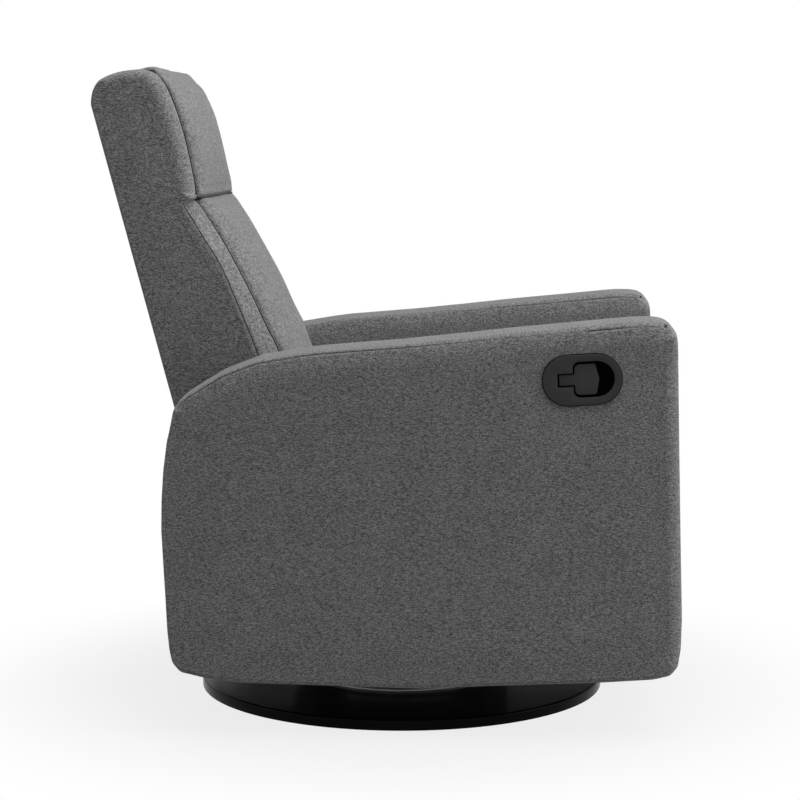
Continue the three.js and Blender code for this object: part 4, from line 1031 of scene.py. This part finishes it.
def head_pillow():
    """The head's front and top: a stuffed panel let in between the back's rounded borders."""
    def place(points):
        a, b, c = points.T
        share = (c + 1) / 2
        seam = curve_through(head_pad_line, share)
        out = frontward(head_pad_line, share)
        end = rise((1 - np.abs(c)) * head_length / 2, end_round)
        over_top = 1 - head_top_flat * smoothstep(share, *head_top_shares)
        height = head_rise * over_top * rise((1 - np.abs(b)) * head_half_width) * end
        depth = (a + 1) / 2
        flat = seam + out * (height * depth - head_buried * (1 - depth))[:, None]
        return in_space(flat, b * (head_half_width - 1.5 * depth ** 6))

    def detail(points, placed):
        a, b, c = points.T
        from_seam = (1 - np.abs(b)) * head_half_width
        wave = puckers((c + 1) * 120 + 40 * np.sign(b), pad_waves, 11, 1.6, from_seam, 16, 3)
        uneven = pad_dent * unevenness(placed, pad_dents, 13) * (1 - bell(from_seam, 12))
        height = (wave + uneven + seam_relief((1 + c) * head_length / 2)) * (a > 0.99)
        return np.column_stack([height, 0 * a, 0.4 * height])

    pad("head_pillow", (head_thickness, 2 * head_half_width, head_length), place, on_open_face, "back",
        "head_cushion", detail, head_swell)


def lumbar_pad():
    """The lumbar cushion: borders that rise from the side panels, a seam, a crowned face."""
    def place(points):
        a, b, c = points.T
        share = (c + 1) / 2
        edge, seam = (curve_through(line, share) for line in (lumbar_edge_line, lumbar_seam_line))
        end = rise((1 - np.abs(c)) * lumbar_length / 2, end_round)
        height = lumbar_rise * rise((1 - np.abs(b)) * lumbar_half_width) * end
        face = seam + frontward(lumbar_seam_line, share) * height[:, None]
        depth = (a + 1) / 2
        buried = edge - frontward(lumbar_edge_line, share) * lumbar_buried
        flat = buried + (face - buried) * depth[:, None]
        inset = np.clip((depth - border_start) / (1 - border_start), 0, 1)
        half = lumbar_border_half + (lumbar_half_width - lumbar_border_half) * inset ** border_bend
        return in_space(flat, b * half)

    def detail(points, placed):
        a, b, c = points.T
        on_face = a > 0.999
        on_border = np.abs(b) > 0.999
        from_seam = np.where(on_face, (1 - np.abs(b)) * lumbar_half_width, (1 - a) / 2 * lumbar_border)
        wave = puckers((c + 1) * 170 + 40 * np.sign(b), pad_waves, 31, 1.4, from_seam, 14, 3)
        uneven = pad_dent * unevenness(placed, pad_dents, 37) * (1 - bell(from_seam, 12)) * on_face
        height = wave + uneven + seam_relief(from_seam) + seam_relief((1 - c) * lumbar_length / 2) * on_face
        height = height * (on_face | on_border)
        return np.column_stack([height * np.where(on_face, 0.8, 0.3),
                                height * np.sign(b) * np.where(on_border, 0.8, 0.1), height * 0.4])

    pad("lumbar_pad", (lumbar_border, 2 * lumbar_border_half, lumbar_length), place, on_open_face, "back",
        "lumbar_cushion", detail, lumbar_swell)


def seam_shadow_tube(name, path, swollen_ends, radius=seam_shadow_radius, body="back"):
    """Painted seam shadow: a dark round tube sunk into a seam, a little thicker at the chosen ends, where
    the painted shadow spreads into a notch.
    """
    path = np.array(path, float)
    along = unit(np.gradient(path, axis=0))
    beside = unit(np.cross(along, (0.7, 0.5, -0.5)))
    above = np.cross(along, beside)
    run = distances_along(path)
    radius = radius + seam_shadow_end_swell * (bell(run, 5) * swollen_ends[0] + bell(run[-1] - run, 5) * swollen_ends[1])
    turn = np.linspace(0, 2 * math.pi, 10, endpoint=False)
    rings = [path + radius[:, None] * (beside * math.cos(t) + above * math.sin(t)) for t in turn]
    points = np.stack(rings, axis=1).reshape(-1, 3)
    new_object(name, points, ring_faces(len(turn), len(points)), body, seam_shadow_material)


def back_seam_shadow_tubes():
    """Painted seam shadow: dark tubes in the seams round the head's and the lumbar's panels."""
    shares = np.linspace(0, 1, seam_shadow_points)
    seams = [
        ("head_seam", head_pad_line, shares * head_seam_shadow_share, head_half_width + 0.8, seam_shadow_depth, (1, 0),
         seam_shadow_radius),
        ("lumbar_seam", lumbar_seam_line, shares, lumbar_half_width, seam_shadow_depth, (0, 0), seam_shadow_radius),
        ("lumbar_edge_seam", lumbar_edge_line, shares, lumbar_border_half + 0.3, thin_seam_shadow_depth, (0, 0),
         thin_seam_shadow_radius),
    ]
    for side, label in ((-1, "right"), (1, "left")):
        for seam, line, places, half, depth, swollen_ends, radius in seams:
            sunk = curve_through(line, places) - frontward(line, places) * depth
            seam_shadow_tube(f"{label}_{seam}", in_space(sunk, side * half), swollen_ends, radius)
    across = np.linspace(-head_half_width, head_half_width, 120)
    proud = foot_seam_proud * rise(head_half_width - np.abs(across))
    foot = np.array(head_pad_line[0]) + proud[:, None] * head_foot_facing
    seam_shadow_tube("head_foot_seam", in_space(foot, across), (1, 1))


def box_pad(name, node, body, crowns, corner, grow, crowns_low=None, fill_cap=10, fine=6):
    """A boxed cushion in a node's box: faces that crown between their seams, eased corners."""
    low, high = node_box(node)
    half = (high - low) / 2 + np.array(grow)
    bend, flatness = box_fullness

    def place(points):
        crown = np.where(points < 0, crowns_low or crowns, crowns)
        full = (1 - np.abs(points) ** bend) ** flatness
        shape = np.roll(full, -1, axis=1) * np.roll(full, -2, axis=1)
        moved = points * (half - crown) + np.sign(points) * np.abs(points) ** 6 * crown * shape
        for share, pair in zip(corner, ([0, 1], [1, 2], [0, 2])):
            moved[:, pair] *= (1 - share * np.abs(points[:, pair].prod(axis=1)) ** 9)[:, None]
        return moved + (low + high) / 2

    def held(points):
        return np.where((np.abs(points) > 0.99).sum(axis=1) > 1, 1.0, 0.0)

    def detail(points, placed):
        from_edge = np.sort((1 - np.abs(points)) * half, axis=1)[:, 1]
        height = -seam_depth * bell(from_edge, seam_width)
        height = height + puckers(placed.sum(axis=1), box_waves, 17, 1.6, from_edge, 14, 2.5)
        height = height + box_dent * unevenness(placed, box_dents, 19) * (1 - bell(from_edge, 12))
        direction = np.where(np.abs(points) > 0.999, np.sign(points), 0)
        direction /= np.maximum(np.linalg.norm(direction, axis=1), 1)[:, None]
        return direction * height[:, None]

    pad(name, 2 * half, place, held, body, node, detail, fill_cap, fine)


def panel_wrap():
    """The rear panel's fabric, carried over the top edge of its board."""
    board_low, board_high = node_box("rear_panel_board")
    bottom, top = board_high[2] + wrap_gap, node_box("rear_panel_cover")[1][2]
    rear, front = board_low[0] - wrap_lap, board_high[0] - wrap_gap
    corner = (top - bottom) / 2
    nose = arc_points((front - corner, bottom + corner), corner, -90, 90, 9)
    profile = np.array([(rear, bottom), *nose, (rear, top)])
    levels = np.linspace(-board_high[1], board_high[1], 61)
    points, faces = rings_between([(profile, level) for level in levels])
    points[:, 2] += wrap_dent * unevenness(points, wrap_dents, 41) * (points[:, 2] > bottom + corner)
    new_object("rear_panel_wrap", points, faces, "chair", fabric)


# Base disc: one turned body with eased edges
def turned_disc():
    low, high = node_box("base_disc")
    radius, bottom, top = high[0], low[2], high[2]
    quarter = np.linspace(0, math.pi / 2, 8)
    inner = radius * disc_inner_share
    profile = [(inner, bottom), (radius - disc_edge, bottom)]
    profile += [(radius - disc_foot * (1 - math.sin(t)), bottom + disc_foot * (1 - math.cos(t)))
                for t in quarter]
    profile += [(radius - disc_edge * (1 - math.cos(t)), top - disc_edge * (1 - math.sin(t)))
                for t in quarter]
    profile += [(radius - disc_edge * 2, top), (inner, top)]
    turn = np.linspace(0, 2 * math.pi, disc_points, endpoint=False)
    rings = [np.column_stack([distance * np.cos(turn), distance * np.sin(turn), height + 0 * turn])
             for distance, height in profile]
    points = np.vstack([*rings, (0, 0, bottom), (0, 0, top)])
    total = disc_points * len(rings)
    last = total - disc_points
    faces = ring_faces(disc_points, total, "open")
    for i in range(disc_points):
        after = (i + 1) % disc_points
        faces += [[total, after, i], [last + i, last + after, total + 1]]
    made = new_object("base_plate", points, faces, "base", finishes["disc"])
    made.data.set_sharp_from_angle(angle=disc_sharp)
    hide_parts("base_disc")


# Stage: floor, lamps, world, camera
def stage_material():
    """A pale floor that fades to white away from the chair, where it is looked at."""
    values = {"Base Color": floor_grey, "Roughness": 0.9, "Specular IOR Level": 0.1}
    material, tree, shader, place = node_material("pale_floor", values)
    length = tree.nodes.new("ShaderNodeVectorMath")
    length.operation = "LENGTH"
    tree.links.new(place, length.inputs[0])
    fade = smooth_share(tree, length.outputs["Value"], floor_fade, floor_glow)
    share = math_node(tree, "MULTIPLY", fade, seen_directly(tree)[0])
    glow = add_node(tree, "ShaderNodeEmission", Color=white)
    mixed_shaders(tree, share, shader.outputs[0], glow.outputs[0], "Material Output")
    return material


def floor():
    reach = floor_reach / mm
    corners = [(-reach, -reach, 0), (reach, -reach, 0), (reach, reach, 0), (-reach, reach, 0)]
    mesh = new_mesh("floor", corners, [(0, 1, 2, 3)])
    mesh.materials.append(stage_material())
    linked("floor", mesh)


def lamp(name, place, target, size, power):
    light = bpy.data.lights.new(name, "AREA")
    light.shape = "RECTANGLE"
    light.size, light.size_y = size
    light.energy = power
    made = linked(name, light)
    made.location = place
    made.rotation_euler = (Vector(target) - Vector(place)).to_track_quat("-Z", "Y").to_euler()


def world():
    """A white room that lights the chair only a little."""
    made = bpy.data.worlds.new("studio")
    made.use_nodes = True
    tree = made.node_tree
    dim = tree.nodes["Background"]
    dim.inputs["Color"].default_value = white
    dim.inputs["Strength"].default_value = world_light
    bright = add_node(tree, "ShaderNodeBackground", Color=white, Strength=1)
    seen, rays = seen_directly(tree)
    seen = math_node(tree, "MAXIMUM", seen, rays.outputs["Is Transmission Ray"])
    mixed_shaders(tree, seen, dim.outputs[0], bright.outputs[0], "World Output")
    bpy.context.scene.world = made


def camera():
    eye = bpy.data.cameras.new("camera")
    eye.lens = camera_lens
    eye.sensor_width = camera_sensor
    made = linked("camera", eye)
    made.location = camera_place
    made.rotation_euler = (math.pi / 2 - camera_pitch, 0, camera_yaw)
    bpy.context.scene.camera = made


finish_nodes()
arm("right_arm_upholstery", "right_arm_cover", -1)
arm("left_arm_upholstery", "left_arm_cover", 1)
lever()
back()
head_pillow()
lumbar_pad()
back_seam_shadow_tubes()
box_pad("seat_pad", "seat_cushion", "seat", (8, 3, 18), (0.03, 0.0, 0.0), (1, 1, 0), (8, 3, 1.5))
box_pad("footrest_pad", "footrest_cushion", "footrest", (10, 2, 2), (0.0, 0.012, 0.0), (1, 0, 0), fine=5)
box_pad("seat_front_upholstery", "seat_front_cover", "seat", (5, 1, 1.5), (0.0, 0.01, 0.0), (0, 0, 0),
        fill_cap=3, fine=4)
box_pad("rear_panel_upholstery", "rear_panel_cover", "chair", (3, 1, 1), (0.0, 0.01, 0.0), (0, 0, 0),
        fill_cap=3, fine=5)
panel_wrap()
turned_disc()

floor()
for lamp_name, lamp_values in lamps.items():
    lamp(lamp_name, *lamp_values)
world()
camera()
bpy.context.scene.view_settings.view_transform = "Standard"
